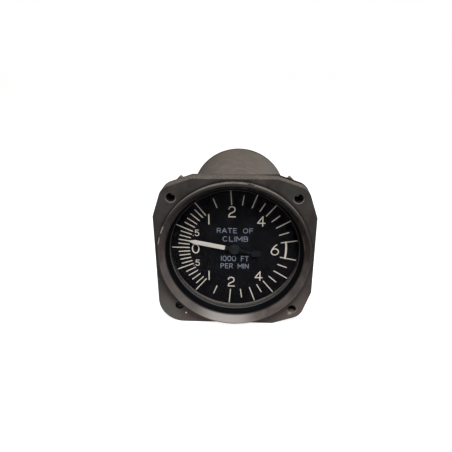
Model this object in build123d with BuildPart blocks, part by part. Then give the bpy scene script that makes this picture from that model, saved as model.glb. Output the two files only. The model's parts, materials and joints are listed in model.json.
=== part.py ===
from build123d import *
import os
from math import acos, atan2, copysign, cos, degrees, hypot, pi, radians, sin, sqrt, tan

# A vertical speed indicator for a panel hole of 3 1/8 inch. Millimetres. The origin is the centre
# of the flange's front face, +X to the right of the dial, +Y into the instrument, +Z up.

# Flange and case
bolt_circle = 88.9
mount_hole_radius = 2.05
flange_inset = 3.175
flange_thickness = 9.0
flange_straight = 20.1
clip_angle = 19.0
corner_radius = 8.0
plain_corner_radius = 13.5
edge_break = 0.4
collar_wall = 3.2
collar_length = 9.0
barrel_step = 2.8
case_wall = 1.6
rear_lip_length = 5.0
rear_lip_width = 6.2
lug_inset = 2.6
lug_angles = (30, 150, 270)
lug_radius = 3.0
lug_length = 5.0

# Bezel, mask, glass and gasket
bezel_inset = 4.85
bezel_width = 3.7
bezel_height = 4.0
bezel_lip = 1.0
bezel_rim_fillet = 0.8
bezel_seat_depth = 0.5
bezel_seat_gap = 0.05
bezel_undercut = 0.6
window_depth = 0.5
mask_width = 1.9
mask_depth = 3.6
mask_wall = 0.9
spigot_wall = 1.3
glass_thickness = 1.8
glass_chamfer = 0.2
gasket_thickness = 1.3
gasket_width = 2.0
fit_gap = 0.1

# Dial and movement plates
dial_overlap = 0.2
dial_fit = 0.2
dial_space = 1.4
dial_thickness = 0.8
dial_bore = 1.7
dial_gap = 0.4
dial_foot_inset = 7.2
dial_foot_angles = (60, 180, 300)
dial_foot_radius = 1.2
dial_foot_collar = 0.6
movement_space = 3.6
plate_thickness = 2.0
gear_room = 13.0
middle_plate_inset = 2.2
bridge_plate_inset = 1.7
plate_clearance = 2.0
pillar_inset = 4.7
pillar_angles = (75, 128, 232, 285)
pillar_radius = 2.0
pillar_waist = 0.5
pillar_land = 1.5
pillar_screw_radius = 1.7
pillar_screw_height = 0.9
lug_screw_radius = 2.1
lug_screw_height = 1.2
lug_screw_reach = 3.5
screw_shank_radius = 1.0
thread_gap = 0.02
front_window_radius = 4.5
front_window_circle = 19.5
front_window_angles = (100, 150, 315)
middle_window_radius = 5.0
middle_window_circle = 17.0
middle_window_angles = (60, 120, 240, 300)
bridge_window_radius = 5.5
bridge_window_circle = 21.0
bridge_centre_radius = 5.0

# Gear train
arbor_inset = 8.2
pressure_angle = 25.0
pinion_teeth = 10
pointer_gear_teeth = 90
pointer_sector_teeth = 13
addendum_share = 0.72
dedendum_share = 1.0
backlash_share = 0.16
gear_offset = 6.0
gear_thickness = 1.4
pinion_overlap = 0.8
sector_hub_wall = 1.8
sector_rim = 2.2
sector_sleeve_wall = 1.4
sector_sleeve_length = 1.6
sector_windows = 3
running_gap = 0.03
end_play = 0.2
staff_radius = 1.2
pivot_radius = 0.6
pivot_reach = 0.7
bush_radius = 2.1
bush_collar = 0.4
bush_floor = 0.5
weight_gap = 2.5
weight_length = 5.0
weight_throw = 3.2
weight_radius = 2.6

# Pointer
rest_angle = 10.9
pointer_lift = 1.3
pointer_thickness = 0.4
pointer_length = 25.1
pointer_width = 2.3
pointer_point = 3.4
pointer_tip_width = 0.3
tail_length = 14.2
tail_neck_width = 1.7
tail_paddle_width = 3.9
tail_paddle_length = 5.4
tail_shoulder = 1.2
hub_radius = 2.6
hub_bevel = 0.4
hub_height = 0.5
hub_boss = 0.5

# Hairspring
hairspring_offset = 2.0
hairspring_width = 0.9
hairspring_gauge = 0.2
hairspring_half_turns = 9
hairspring_outer = 8.6
hairspring_start_gap = 0.15
collet_radius = 2.1
collet_margin = 0.3

# Capsule and its linkage
capsule_inset = 18.2
capsule_offset = 1.0
crank_length = 4.5
crank_thickness = 1.4
crank_hub_wall = 1.4
crank_sleeve_wall = 1.2
crank_sleeve_length = 1.6
crank_pin_radius = 0.6
crank_pin_head = 0.4
crank_pin_wall = 0.9
crank_web_width = 2.4
capsule_rim = 0.4
capsule_bulge = 2.6
capsule_sheet = 0.7
capsule_rim_width = 0.8
corrugation_count = 3
corrugation_height = 0.7
corrugation_crest = 0.4
capsule_hub_radius = 3.4
capsule_hub_height = 0.8
boss_flange_height = 1.6
boss_barrel_height = 2.4
boss_bore_depth = 1.8
boss_wall = 0.9
link_radius = 0.7
link_eye_radius = 2.2
link_eye_clearance = 0.42
link_thickness = 1.2
side_gap = 0.35
bracket_inset = 8.6
bracket_thickness = 1.6
bracket_width = 12.0
bracket_foot = 5.2
inlet_wall = 0.6
inlet_head = 0.9
inlet_head_height = 0.8

# Accelerometer pumps
pump_inset = 20.2
pump_radius = 8.0
pump_wall = 1.6
pump_height = 30.0
pump_seat_gap = 2.5
pump_rear_room = 9.5
pump_cap_height = 3.0
pump_cap_plug = 2.0
pump_key_width = 1.6
pump_key_depth = 1.0
pump_foot_width = 9.0
pump_foot_height = 18.0
pump_screw_inset = 2.5
pump_screw_reach = 1.5
pump_port_radius = 0.8
pump_port_inset = 1.5
piston_length = 8.0
piston_gap = 0.05
piston_rest = 3.0
piston_groove = 0.7
piston_groove_width = 1.0
spring_seat_depth = 1.5
spring_seat_margin = 0.9
pump_spring_wire = 0.45
pump_spring_radius = 4.4
pump_spring_turns = 4
spring_end_gap = 0.3

# Static line
manifold_width = 18.0
manifold_height = 15.0
manifold_length = 8.0
manifold_corner = 2.0
tube_radius = 1.1
tube_bore = 0.6
tube_bend = 4.0
inlet_bend = 1.9
tube_inset = 5.6
tube_hole_gap = 0.5
restrictor_radius = 3.4
restrictor_step = 0.9
restrictor_length = 12.0
restrictor_head = 4.5
cover_thickness = 3.0
cover_overhang = 0.35
cover_chamfer = 0.8
cover_gap = 0.1
seal_section = 0.7
seal_sides = 8
port_radius = 4.35
port_length = 10.0
port_hex = 17.5
port_hex_height = 4.0
port_shank_radius = 6.5
port_passage_radius = 1.45
rear_screw_count = 6
rear_screw_radius = 2.0
rear_screw_height = 1.2
rear_screw_gap = 0.3
rear_screw_reach = 3.5

# Zero adjuster in the lower left corner
zero_side = 1.43
zero_drop = 0.63
zero_gear_teeth = 60
zero_sector_teeth = 7
zero_lever_lift = 1.5
zero_lever_thickness = 0.8
zero_pocket_lift = 0.4
zero_pocket_gap = 0.6
zero_boss_floor = 2.6
zero_boss_inset = 1.4
zero_boss_wall = 4.0
zero_head_radius = 1.9
zero_head_gap = 0.3
zero_head_front = 0.9
zero_head_thickness = 1.8
zero_slot_width = 0.8
zero_slot_depth = 0.8
zero_slot_angle = 20.0
zero_shaft_radius = 1.5
zero_shaft_end_gap = 0.4
zero_bush_radius = 2.9
zero_bush_gap = 0.1
zero_seal_offset = 2.0
zero_seal_groove = 0.7
zero_seal_length = 1.6
zero_swing = 10.0
zero_pinion_overlap = 0.5
lever_arm_width = 2.4
lever_hub_wall = 1.7
lever_post_radius = 1.3
lever_post_collar = 0.9
lever_play = 0.1
stud_radius = 0.7
stud_wall = 0.9
stud_slot_gap = 0.5
stud_step = 0.2
stud_reach = 0.4

# Mounting nuts: a square plate behind each flange hole, set inwards from it, with a threaded boss
nut_plate_side = 14.2
nut_plate_corner = 0.5
nut_plate_thickness = 2.0
nut_plate_inset_x = 4.0
nut_plate_inset_z = 1.2
nut_boss_radius = 2.8
nut_boss_length = 5.5
nut_bore = 1.8

# Worked out from the sizes above, from the panel inwards and then from the glass to the rear
bolt_radius = bolt_circle / 2
hole_place = bolt_radius / sqrt(2)
flange_half = bolt_radius - flange_inset
clip_start = flange_half - flange_straight
clip_slope = tan(radians(clip_angle))
corner_apex = (flange_half + clip_start * clip_slope) / (1 + clip_slope)
bezel_radius = bolt_radius - bezel_inset
window_radius = bezel_radius - bezel_width
mask_inner_radius = window_radius - mask_width
mask_radius = window_radius + mask_wall
spigot_radius = mask_radius + fit_gap + spigot_wall
glass_radius = mask_radius
dial_radius = mask_inner_radius + dial_overlap
dial_recess = dial_radius + dial_fit
collar_radius = dial_recess + collar_wall
barrel_radius = collar_radius - barrel_step
barrel_bore = barrel_radius - case_wall
rear_lip_bore = barrel_bore - rear_lip_width
rear_screw_circle = (rear_lip_bore + barrel_radius) / 2
middle_plate_radius = barrel_bore - middle_plate_inset
bridge_plate_radius = barrel_bore - bridge_plate_inset
pillar_circle = barrel_bore - pillar_inset
lug_circle = barrel_bore - lug_inset
dial_foot_circle = barrel_bore - dial_foot_inset
arbor_x = barrel_bore - arbor_inset
capsule_radius = barrel_bore - capsule_inset
capsule_middle = -capsule_radius - capsule_offset
bracket_place = bracket_inset - barrel_bore
tube_side = tube_inset - barrel_bore
pump_offset = barrel_bore - pump_inset
pump_bore = pump_radius - pump_wall

mask_end = window_depth + mask_depth
glass_rear = mask_end + glass_thickness
gasket_rear = glass_rear + gasket_thickness
dial_front = gasket_rear + dial_space
dial_rear = dial_front + dial_thickness
front_plate_front = dial_rear + movement_space
ledge = front_plate_front + plate_thickness
collar_end = flange_thickness + collar_length
gear_front = ledge + gear_offset
gear_rear = gear_front + gear_thickness
hairspring_front = ledge + hairspring_offset
middle_plate_front = ledge + gear_room
middle_plate_rear = middle_plate_front + plate_thickness
capsule_depth = middle_plate_rear + plate_clearance + capsule_radius
bridge_plate_front = capsule_depth + capsule_radius + plate_clearance
bridge_plate_rear = bridge_plate_front + plate_thickness
pump_depth = bridge_plate_rear + pump_seat_gap + pump_radius
manifold_front = pump_depth + pump_radius + pump_rear_room
lip_front = manifold_front + manifold_length
barrel_end = lip_front + rear_lip_length
cover_rear = barrel_end + cover_thickness
port_rear = cover_rear + port_hex_height
port_bottom = port_rear - port_length

gear_module = 2 * arbor_x / (pinion_teeth + pointer_gear_teeth)
tooth_addendum = addendum_share * gear_module
tooth_dedendum = dedendum_share * gear_module
tooth_backlash = backlash_share * gear_module
pinion_pitch_radius = gear_module * pinion_teeth / 2
zero_gear_radius = gear_module * zero_gear_teeth / 2
zero_x = zero_side - hole_place
zero_z = zero_drop - hole_place
zero_distance = hypot(zero_x, zero_z)
zero_angle = degrees(atan2(zero_z, zero_x))
lever_distance = zero_distance - pinion_pitch_radius - zero_gear_radius
stud_distance = hairspring_outer + hairspring_gauge + stud_radius
zero_recess_radius = zero_head_radius + zero_head_gap
zero_head_rear = zero_head_front + zero_head_thickness
zero_lever_front = dial_rear + zero_lever_lift
zero_pocket_front = dial_rear + zero_pocket_lift
zero_boss_end = front_plate_front + zero_boss_floor
pointer_front = dial_front - pointer_lift
capsule_height = crank_length
pump_sides = {"left": -pump_offset, "right": pump_offset}


def facing(depth):
    """Plane parallel to the panel at this depth: X to the right, Y up, as seen from the front."""
    return Plane.XZ.offset(-depth)


def turning(centre=(0, 0)):
    """Plane and axis for turned work: X is the radius and Y the depth, about centre (x, z)."""
    x, z = centre
    return Plane(origin=(x, 0, z), x_dir=(1, 0, 0), z_dir=(0, 0, 1)), Axis((x, 0, z), (0, 1, 0))


def polar(radius, angle, centre=(0, 0)):
    """Point (x, z) at this radius and angle, counted from 3 o'clock against the clock."""
    return (centre[0] + radius * cos(radians(angle)), centre[1] + radius * sin(radians(angle)))


def ring_of(radius, angles):
    """Centres on a circle about the dial's centre, one for each angle."""
    return [polar(radius, angle) for angle in angles]


def bar(centres, radius, front, rear, mode=Mode.ADD):
    """Round bars or holes along the instrument, at each centre (x, z), from front to rear."""
    with BuildSketch(facing(front)) as outline:
        with Locations(*centres):
            Circle(radius)
    extrude(outline.sketch, amount=front - rear, mode=mode)


def turn(points, centre=(0, 0), mode=Mode.ADD):
    """Turned solid from a closed outline of (radius, depth) points about an axis at centre (x, z)."""
    plane, axis = turning(centre)
    with BuildSketch(plane) as outline:
        with BuildLine():
            Polyline(*points, close=True)
        make_face()
    revolve(outline.sketch, axis=axis, mode=mode)


def tube_points(inner, outer, front, rear):
    """Outline of a plain ring for turn."""
    return [(inner, front), (outer, front), (outer, rear), (inner, rear)]


def blind_bush(bore, inner_end, bore_end, outer_end, centre=(0, 0)):
    """Flanged bush with a blind bore, open at inner_end and closed at outer_end."""
    turn([
        (0, outer_end), (bush_radius, outer_end), (bush_radius, inner_end),
        (bore, inner_end), (bore, bore_end), (0, bore_end),
    ], centre)


def stepped_staff(front, front_shoulder, rear_shoulder, rear, centre=(0, 0)):
    """Arbor with a thin pivot at each end."""
    turn([
        (0, front), (pivot_radius, front), (pivot_radius, front_shoulder),
        (staff_radius, front_shoulder), (staff_radius, rear_shoulder),
        (pivot_radius, rear_shoulder), (pivot_radius, rear), (0, rear),
    ], centre)


def tooth_points(teeth):
    """Involute tooth pointing along X, from below its root to its tip, as a closed outline."""
    pitch = gear_module * teeth / 2
    base = pitch * cos(radians(pressure_angle))
    root = pitch - tooth_dedendum
    half_at_pitch = (pi * pitch / teeth - tooth_backlash) / 2 / pitch
    involute = tan(radians(pressure_angle)) - radians(pressure_angle)

    def half_angle(radius):
        roll = acos(min(1.0, base / radius))
        return half_at_pitch + involute - (tan(roll) - roll)

    foot = root - tooth_addendum
    radii = sorted({foot, max(base, root), pitch, pitch + tooth_addendum})
    upper = [(r * cos(half_angle(r)), r * sin(half_angle(r))) for r in radii]
    return upper + [(x, -y) for x, y in reversed(upper)]


def fan_rim(centre, radius, middle, spread):
    """Start, middle and end of a fan's rim at this radius, spread both ways about the middle."""
    return [polar(radius, middle + turned, centre) for turned in (-spread, 0, spread)]


def arc_slot(centre, radius, middle, spread, half_width):
    """Closed outline of a curved slot with round ends, drawn into the line in work."""
    outer = fan_rim(centre, radius + half_width, middle, spread)
    inner = fan_rim(centre, radius - half_width, middle, spread)
    caps = []
    for sign in (-1, 1):
        angle = middle + sign * spread
        caps.append(polar(sign * half_width, angle + 90, polar(radius, angle, centre)))
    ThreePointArc(*outer)
    ThreePointArc(outer[2], caps[1], inner[2])
    ThreePointArc(*inner[::-1])
    ThreePointArc(inner[0], caps[0], outer[0])


def tooth_faces(centre, teeth, count, first_angle):
    """Flat teeth of a wheel about centre, one at first_angle and the rest against the clock."""
    with BuildSketch() as tooth:
        with BuildLine():
            Polyline(*tooth_points(teeth), close=True)
        make_face()
    step = 360 / teeth
    return [Location(centre, first_angle + step * index) * tooth.sketch for index in range(count)]


def toothed_sector(centre, teeth, count, middle, hub, front, rear, windows=0):
    """Fan with teeth on its rim and a round hub, as gear sectors are cut from sheet."""
    root = gear_module * teeth / 2 - tooth_dedendum
    step = 360 / teeth
    spread = step * count / 2
    rim = fan_rim(centre, root, middle, spread)
    fan_teeth = tooth_faces(centre, teeth, count, middle - step * (count - 1) / 2)
    with BuildSketch(facing(front)) as outline:
        with BuildLine():
            ThreePointArc(*rim)
            Line(rim[2], centre)
            Line(centre, rim[0])
        make_face()
        with Locations(centre):
            Circle(hub)
        add(fan_teeth)
        for index in range(windows):
            share = 2 * spread / windows
            window_middle = middle - spread + share * (index + 0.5)
            inner = fan_rim(centre, hub + sector_rim, window_middle, share * 0.2)
            outer = fan_rim(centre, root - sector_rim, window_middle, share * 0.36)
            with BuildLine():
                ThreePointArc(*inner)
                Line(inner[2], outer[2])
                ThreePointArc(*outer[::-1])
                Line(outer[0], inner[0])
            make_face(mode=Mode.SUBTRACT)
    extrude(outline.sketch, amount=front - rear)


def toothed_wheel(centre, first_angle, front, rear, bore):
    """Small pinion with a tooth at first_angle, bored for its shaft."""
    wheel_teeth = tooth_faces(centre, pinion_teeth, pinion_teeth, first_angle)
    with BuildSketch(facing(front)) as outline:
        with Locations(centre):
            Circle(pinion_pitch_radius - tooth_dedendum)
        add(wheel_teeth)
        with Locations(centre):
            Circle(bore, mode=Mode.SUBTRACT)
    extrude(outline.sketch, amount=front - rear)


def flange_outline():
    """Flange corners, clockwise from the upper left: three clipped and the lower left one plain."""
    half, start, apex = flange_half, clip_start, corner_apex
    return [
        (-start, half), (start, half), (apex, apex), (half, start), (half, -start),
        (apex, -apex), (start, -half), (-half, -half), (-half, start), (-apex, apex),
    ]


def save(piece, name):
    """Name a finished piece and write it."""
    piece.part.label = name
    export_step(piece.part, f"parts/{name}.step")


os.makedirs("parts", exist_ok=True)

mount_holes = [(-hole_place, hole_place), (hole_place, hole_place), (hole_place, -hole_place)]
pillars = ring_of(pillar_circle, pillar_angles)
lugs = ring_of(lug_circle, lug_angles)
dial_feet_places = ring_of(dial_foot_circle, dial_foot_angles)
rear_screws = ring_of(rear_screw_circle, [360 / rear_screw_count * (n + 0.5) for n in range(rear_screw_count)])
zero_axis = (zero_x, zero_z)
lever_axis = polar(lever_distance, zero_angle)
stud_axis = polar(stud_distance, zero_angle)
arbor_axis = (arbor_x, 0)
pump_screw_height = pump_foot_height / 2 - pump_screw_inset
pump_screw_places = [
    (side, sign * pump_screw_height) for side in pump_sides.values() for sign in (-1, 1)
]

# Case: flange, collar and barrel in one casting, with its seats turned from the front
with BuildPart() as case_body:
    root_depth = flange_thickness - 1
    with BuildSketch(facing(0)):
        with BuildLine():
            Polyline(*flange_outline(), close=True)
        make_face()
        diagonal = vertices().filter_by(lambda v: abs(abs(v.X) - abs(v.Y)) < 0.01)
        plain = diagonal.filter_by(lambda v: v.X < 0 and v.Y < 0)
        fillet([v for v in diagonal if v not in plain], corner_radius)
        plain_again = vertices().sort_by_distance((-flange_half, -flange_half))[0]
        fillet(plain_again, plain_corner_radius)
    extrude(amount=-flange_thickness)
    flange_edges = edges().filter_by(Plane.XZ)
    chamfer(flange_edges, edge_break)
    turn([
        (0, root_depth), (collar_radius, root_depth), (collar_radius, collar_end),
        (barrel_radius, collar_end + barrel_step), (barrel_radius, barrel_end), (0, barrel_end),
    ])
    boss_half = flange_half - zero_boss_inset
    boss_side = boss_half - lever_distance / sqrt(2) + zero_boss_wall
    with BuildSketch(facing(root_depth)) as boss:
        with Locations((-boss_half + boss_side / 2, -boss_half + boss_side / 2)):
            Rectangle(boss_side, boss_side)
        outer_corner = vertices().sort_by_distance((-flange_half, -flange_half))[0]
        fillet(outer_corner, plain_corner_radius - zero_boss_inset)
    extrude(boss.sketch, amount=root_depth - zero_boss_end)
    turn([
        (0, 0), (bezel_radius + bezel_seat_gap, 0), (bezel_radius + bezel_seat_gap, bezel_seat_depth),
        (spigot_radius + fit_gap, bezel_seat_depth), (spigot_radius + fit_gap, mask_end),
        (glass_radius + fit_gap, mask_end), (glass_radius + fit_gap, gasket_rear),
        (dial_recess, gasket_rear), (dial_recess, ledge), (barrel_bore, ledge),
        (barrel_bore, lip_front), (rear_lip_bore, lip_front), (rear_lip_bore, barrel_end),
        (0, barrel_end),
    ], mode=Mode.SUBTRACT)
    with BuildSketch(facing(ledge)) as lug_outline:
        for angle in lug_angles:
            with Locations(polar(lug_circle, angle)):
                Circle(lug_radius)
            with Locations(Location(polar((lug_circle + barrel_radius) / 2, angle), angle)):
                Rectangle(barrel_radius - lug_circle, 2 * lug_radius)
        Circle(barrel_radius - case_wall / 2, mode=Mode.INTERSECT)
    extrude(lug_outline.sketch, amount=-lug_length)
    bar(lugs, screw_shank_radius, ledge, ledge + lug_length - 1, Mode.SUBTRACT)
    bar(mount_holes, mount_hole_radius, 0, flange_thickness, Mode.SUBTRACT)
    bar([zero_axis], zero_recess_radius, 0, zero_head_rear, Mode.SUBTRACT)
    bar([zero_axis], zero_bush_radius, zero_head_rear, zero_pocket_front, Mode.SUBTRACT)
    pocket_radius = pinion_pitch_radius + tooth_addendum + zero_pocket_gap
    bar([zero_axis], pocket_radius, zero_pocket_front, front_plate_front, Mode.SUBTRACT)
    shaft_hole_end = zero_boss_end - 2 * zero_shaft_end_gap
    bar([zero_axis], zero_shaft_radius + running_gap, front_plate_front, shaft_hole_end, Mode.SUBTRACT)
    slot_spread = 180 / zero_gear_teeth * zero_sector_teeth + zero_swing + 3
    fan = fan_rim(lever_axis, zero_gear_radius + tooth_addendum + zero_pocket_gap, zero_angle, slot_spread)
    with BuildSketch(facing(zero_pocket_front)) as slot:
        with BuildLine():
            ThreePointArc(*fan)
            Line(fan[2], lever_axis)
            Line(lever_axis, fan[0])
        make_face()
    extrude(slot.sketch, amount=zero_pocket_front - front_plate_front, mode=Mode.SUBTRACT)
    bar(rear_screws, screw_shank_radius, lip_front + 1, barrel_end, Mode.SUBTRACT)
save(case_body, "case_body")

# Bezel ring: rounded rim, inner bevel, and a spigot that goes into the flange
with BuildPart() as bezel_ring:
    with BuildSketch(Plane.XY) as bezel_profile:
        with BuildLine():
            Polyline(
                (window_radius, window_depth), (bezel_radius - bezel_lip, -bezel_height),
                (bezel_radius, -bezel_height), (bezel_radius, 0),
                (bezel_radius - bezel_undercut, 0), (bezel_radius - bezel_undercut, bezel_seat_depth),
                (spigot_radius, bezel_seat_depth), (spigot_radius, mask_end - fit_gap),
                (mask_radius + fit_gap, mask_end - fit_gap), (mask_radius + fit_gap, window_depth),
                close=True,
            )
        make_face()
        rim = vertices().sort_by_distance((bezel_radius, -bezel_height))[0]
        fillet(rim, bezel_rim_fillet)
    revolve(bezel_profile.sketch, axis=Axis.Y)
save(bezel_ring, "bezel_ring")

# Mask ring: black cone between the bezel and the glass
with BuildPart() as mask_ring:
    turn([
        (window_radius, window_depth), (mask_radius, window_depth),
        (mask_radius, mask_end), (mask_inner_radius, mask_end),
    ])
save(mask_ring, "mask_ring")

# Cover glass
with BuildPart() as cover_glass:
    bar([(0, 0)], glass_radius, mask_end, glass_rear)
    rims = edges().filter_by(GeomType.CIRCLE)
    chamfer(rims, glass_chamfer)
save(cover_glass, "cover_glass")

# Gasket behind the glass
with BuildPart() as glass_gasket:
    turn(tube_points(glass_radius - gasket_width, glass_radius, glass_rear, gasket_rear))
save(glass_gasket, "glass_gasket")

# Dial plate
with BuildPart() as dial_plate:
    turn(tube_points(dial_bore, dial_radius, dial_front, dial_rear))
save(dial_plate, "dial_plate")

# Dial feet: posts that stand the dial off the movement
with BuildPart() as dial_feet:
    bar(dial_feet_places, dial_foot_radius, dial_rear, front_plate_front)
    bar(dial_feet_places, dial_foot_radius + dial_foot_collar, dial_rear, dial_rear + dial_foot_collar)
save(dial_feet, "dial_feet")

# Front plate of the movement, on the ledge in the case
with BuildPart() as front_plate:
    bar([(0, 0)], dial_radius, front_plate_front, ledge)
    bar([(0, 0), arbor_axis], bush_radius, front_plate_front, ledge, Mode.SUBTRACT)
    bar(pillars + lugs, screw_shank_radius + fit_gap, front_plate_front, ledge, Mode.SUBTRACT)
    bar([lever_axis], screw_shank_radius, front_plate_front, ledge, Mode.SUBTRACT)
    stud_arm = lever_distance - stud_distance
    stud_window = stud_radius + stud_slot_gap
    with BuildSketch(facing(front_plate_front)) as stud_slot:
        with BuildLine():
            arc_slot(lever_axis, stud_arm, zero_angle + 180, zero_swing, stud_window)
        make_face()
    extrude(stud_slot.sketch, amount=-plate_thickness, mode=Mode.SUBTRACT)
    front_windows = ring_of(front_window_circle, front_window_angles)
    bar(front_windows, front_window_radius, front_plate_front, ledge, Mode.SUBTRACT)
save(front_plate, "front_plate")

# Middle plate behind the gears
with BuildPart() as middle_plate:
    bar([(0, 0)], middle_plate_radius, middle_plate_front, middle_plate_rear)
    bar([(0, 0)], bush_radius, middle_plate_front, middle_plate_rear, Mode.SUBTRACT)
    bar([arbor_axis], bush_radius, middle_plate_front, middle_plate_rear, Mode.SUBTRACT)
    bar(pillars, screw_shank_radius + fit_gap, middle_plate_front, middle_plate_rear, Mode.SUBTRACT)
    middle_windows = ring_of(middle_window_circle, middle_window_angles)
    bar(middle_windows, middle_window_radius, middle_plate_front, middle_plate_rear, Mode.SUBTRACT)
save(middle_plate, "middle_plate")

# Bridge plate behind the capsule; the pumps are bolted to its rear face
with BuildPart() as bridge_plate:
    bar([(0, 0)], bridge_plate_radius, bridge_plate_front, bridge_plate_rear)
    bar([arbor_axis], bush_radius, bridge_plate_front, bridge_plate_rear, Mode.SUBTRACT)
    screw_holes = pillars + pump_screw_places
    bar(screw_holes, screw_shank_radius + fit_gap, bridge_plate_front, bridge_plate_rear, Mode.SUBTRACT)
    tube_hole = [(tube_side, capsule_height)]
    bar(tube_hole, tube_radius + tube_hole_gap, bridge_plate_front, bridge_plate_rear, Mode.SUBTRACT)
    bridge_windows = ring_of(bridge_window_circle, (90, 270))
    bar(bridge_windows, bridge_window_radius, bridge_plate_front, bridge_plate_rear, Mode.SUBTRACT)
    bar([(0, 0)], bridge_centre_radius, bridge_plate_front, bridge_plate_rear, Mode.SUBTRACT)
save(bridge_plate, "bridge_plate")

# Pillars between the plates, waisted like turned spacers
for name, front, rear in (
    ("front_pillars", ledge, middle_plate_front),
    ("rear_pillars", middle_plate_rear, bridge_plate_front),
):
    with BuildPart() as pillar_set:
        waist = pillar_radius - pillar_waist
        waist_start = pillar_land + pillar_waist
        for place in pillars:
            turn([
                (0, front), (pillar_radius, front), (pillar_radius, front + pillar_land),
                (waist, front + waist_start), (waist, rear - waist_start),
                (pillar_radius, rear - pillar_land), (pillar_radius, rear), (0, rear),
            ], place)
    save(pillar_set, name)

# Pillar screws: heads on the front plate and on the bridge plate
with BuildPart() as pillar_screws:
    bar(pillars, pillar_screw_radius, front_plate_front - pillar_screw_height, front_plate_front)
    bar(pillars, screw_shank_radius, front_plate_front, ledge)
    bar(pillars, pillar_screw_radius, bridge_plate_rear, bridge_plate_rear + pillar_screw_height)
    bar(pillars, screw_shank_radius, bridge_plate_front, bridge_plate_rear)
save(pillar_screws, "pillar_screws")

# Screws that hold the movement to the lugs of the case
with BuildPart() as movement_screws:
    bar(lugs, lug_screw_radius, front_plate_front - lug_screw_height, front_plate_front)
    bar(lugs, screw_shank_radius - thread_gap, front_plate_front, ledge + lug_screw_reach)
save(movement_screws, "movement_screws")

# Bushes for the pointer staff and the rocking shaft
pivot_bore = pivot_radius + running_gap
with BuildPart() as staff_bushes:
    turn(tube_points(pivot_bore, bush_radius, front_plate_front, ledge + bush_collar))
    blind_bush(
        pivot_bore, middle_plate_front - bush_collar, middle_plate_rear - bush_floor, middle_plate_rear
    )
save(staff_bushes, "staff_bushes")
with BuildPart() as shaft_bushes:
    blind_bush(
        pivot_bore, ledge + bush_collar, front_plate_front + bush_floor, front_plate_front, arbor_axis
    )
    blind_bush(
        pivot_bore, bridge_plate_front - bush_collar, bridge_plate_rear - bush_floor,
        bridge_plate_rear, arbor_axis,
    )
save(shaft_bushes, "shaft_bushes")

# Pointer staff: a stepped arbor that carries the pointer, the collet and the pinion
front_shoulder = ledge + bush_collar + end_play
staff_shoulder = middle_plate_front - bush_collar - end_play
with BuildPart() as pointer_staff:
    staff_front = pointer_front - hub_height + end_play
    stepped_staff(staff_front, front_shoulder, staff_shoulder, middle_plate_rear - pivot_reach)
save(pointer_staff, "pointer_staff")

# Pinion on the pointer staff, with a tooth space towards the sector
with BuildPart() as pointer_pinion:
    space_angle = 180 / pinion_teeth
    toothed_wheel(
        (0, 0), space_angle, gear_front - pinion_overlap, gear_rear + pinion_overlap, staff_radius
    )
save(pointer_pinion, "pointer_pinion")

# Collet that grips the inner end of the hairspring
hairspring_rear = hairspring_front + hairspring_width
with BuildPart() as hairspring_collet:
    collet_front = hairspring_front - collet_margin
    turn(tube_points(staff_radius, collet_radius, collet_front, hairspring_rear + collet_margin))
save(hairspring_collet, "hairspring_collet")

# Pointer hub, pressed on the front end of the staff, with its sleeve through the dial
pointer_rear = pointer_front + pointer_thickness
hub_sleeve = dial_bore - dial_gap
hub_neck = (pivot_radius + hub_sleeve) / 2
with BuildPart() as pointer_hub:
    turn([
        (pivot_radius, pointer_front - hub_height), (hub_radius - hub_bevel, pointer_front - hub_height),
        (hub_radius, pointer_front), (hub_neck, pointer_front), (hub_neck, pointer_rear),
        (hub_sleeve, pointer_rear), (hub_sleeve, dial_rear), (pivot_radius, dial_rear),
    ])
save(pointer_hub, "pointer_hub")

# Pointer: straight bar with a pointed tip, and a tail that widens to a paddle
pointer_angle = radians(180 - rest_angle)
along_pointer = Plane(
    origin=(0, pointer_front, 0), x_dir=(cos(pointer_angle), 0, sin(pointer_angle)), z_dir=(0, -1, 0)
)
with BuildPart() as pointer:
    half_bar = pointer_width / 2
    half_tip = pointer_tip_width / 2
    half_neck = tail_neck_width / 2
    half_paddle = tail_paddle_width / 2
    neck_end = tail_length - tail_paddle_length
    paddle_start = neck_end + tail_shoulder
    with BuildSketch(along_pointer) as pointer_outline:
        with BuildLine():
            Polyline(
                (0, half_bar), (pointer_length - pointer_point, half_bar), (pointer_length, half_tip),
                (pointer_length, -half_tip), (pointer_length - pointer_point, -half_bar),
                (0, -half_bar), close=True,
            )
        make_face()
        Circle(hub_radius + hub_boss)
        with BuildLine():
            Polyline(
                (0, half_neck), (-neck_end, half_neck), (-paddle_start, half_paddle),
                (-tail_length, half_paddle), (-tail_length, -half_paddle),
                (-paddle_start, -half_paddle), (-neck_end, -half_neck), (0, -half_neck),
                close=True,
            )
        make_face()
        tail_corners = vertices().group_by(Axis.X)[0]
        fillet(tail_corners, half_paddle * 0.6)
        Circle(hub_neck, mode=Mode.SUBTRACT)
    extrude(pointer_outline.sketch, amount=-pointer_thickness)
save(pointer, "pointer")

# Hairspring: flat spiral ribbon of half turns, from the collet to the stud on the zero lever
spiral_start = collet_radius + hairspring_start_gap
spiral_step = (hairspring_outer - spiral_start) / hairspring_half_turns


def half_turn(index, offset):
    """Half turn of one face of the ribbon, as three points of its arc."""
    angle = zero_angle + 180 * (index - hairspring_half_turns)
    start_radius = spiral_start + spiral_step * index + offset
    end_radius = start_radius + spiral_step
    centre = polar(-spiral_step / 2, angle)
    halfway = polar((start_radius + end_radius) / 2, angle + 90, centre)
    return polar(start_radius, angle), halfway, polar(end_radius, angle + 180)


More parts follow.
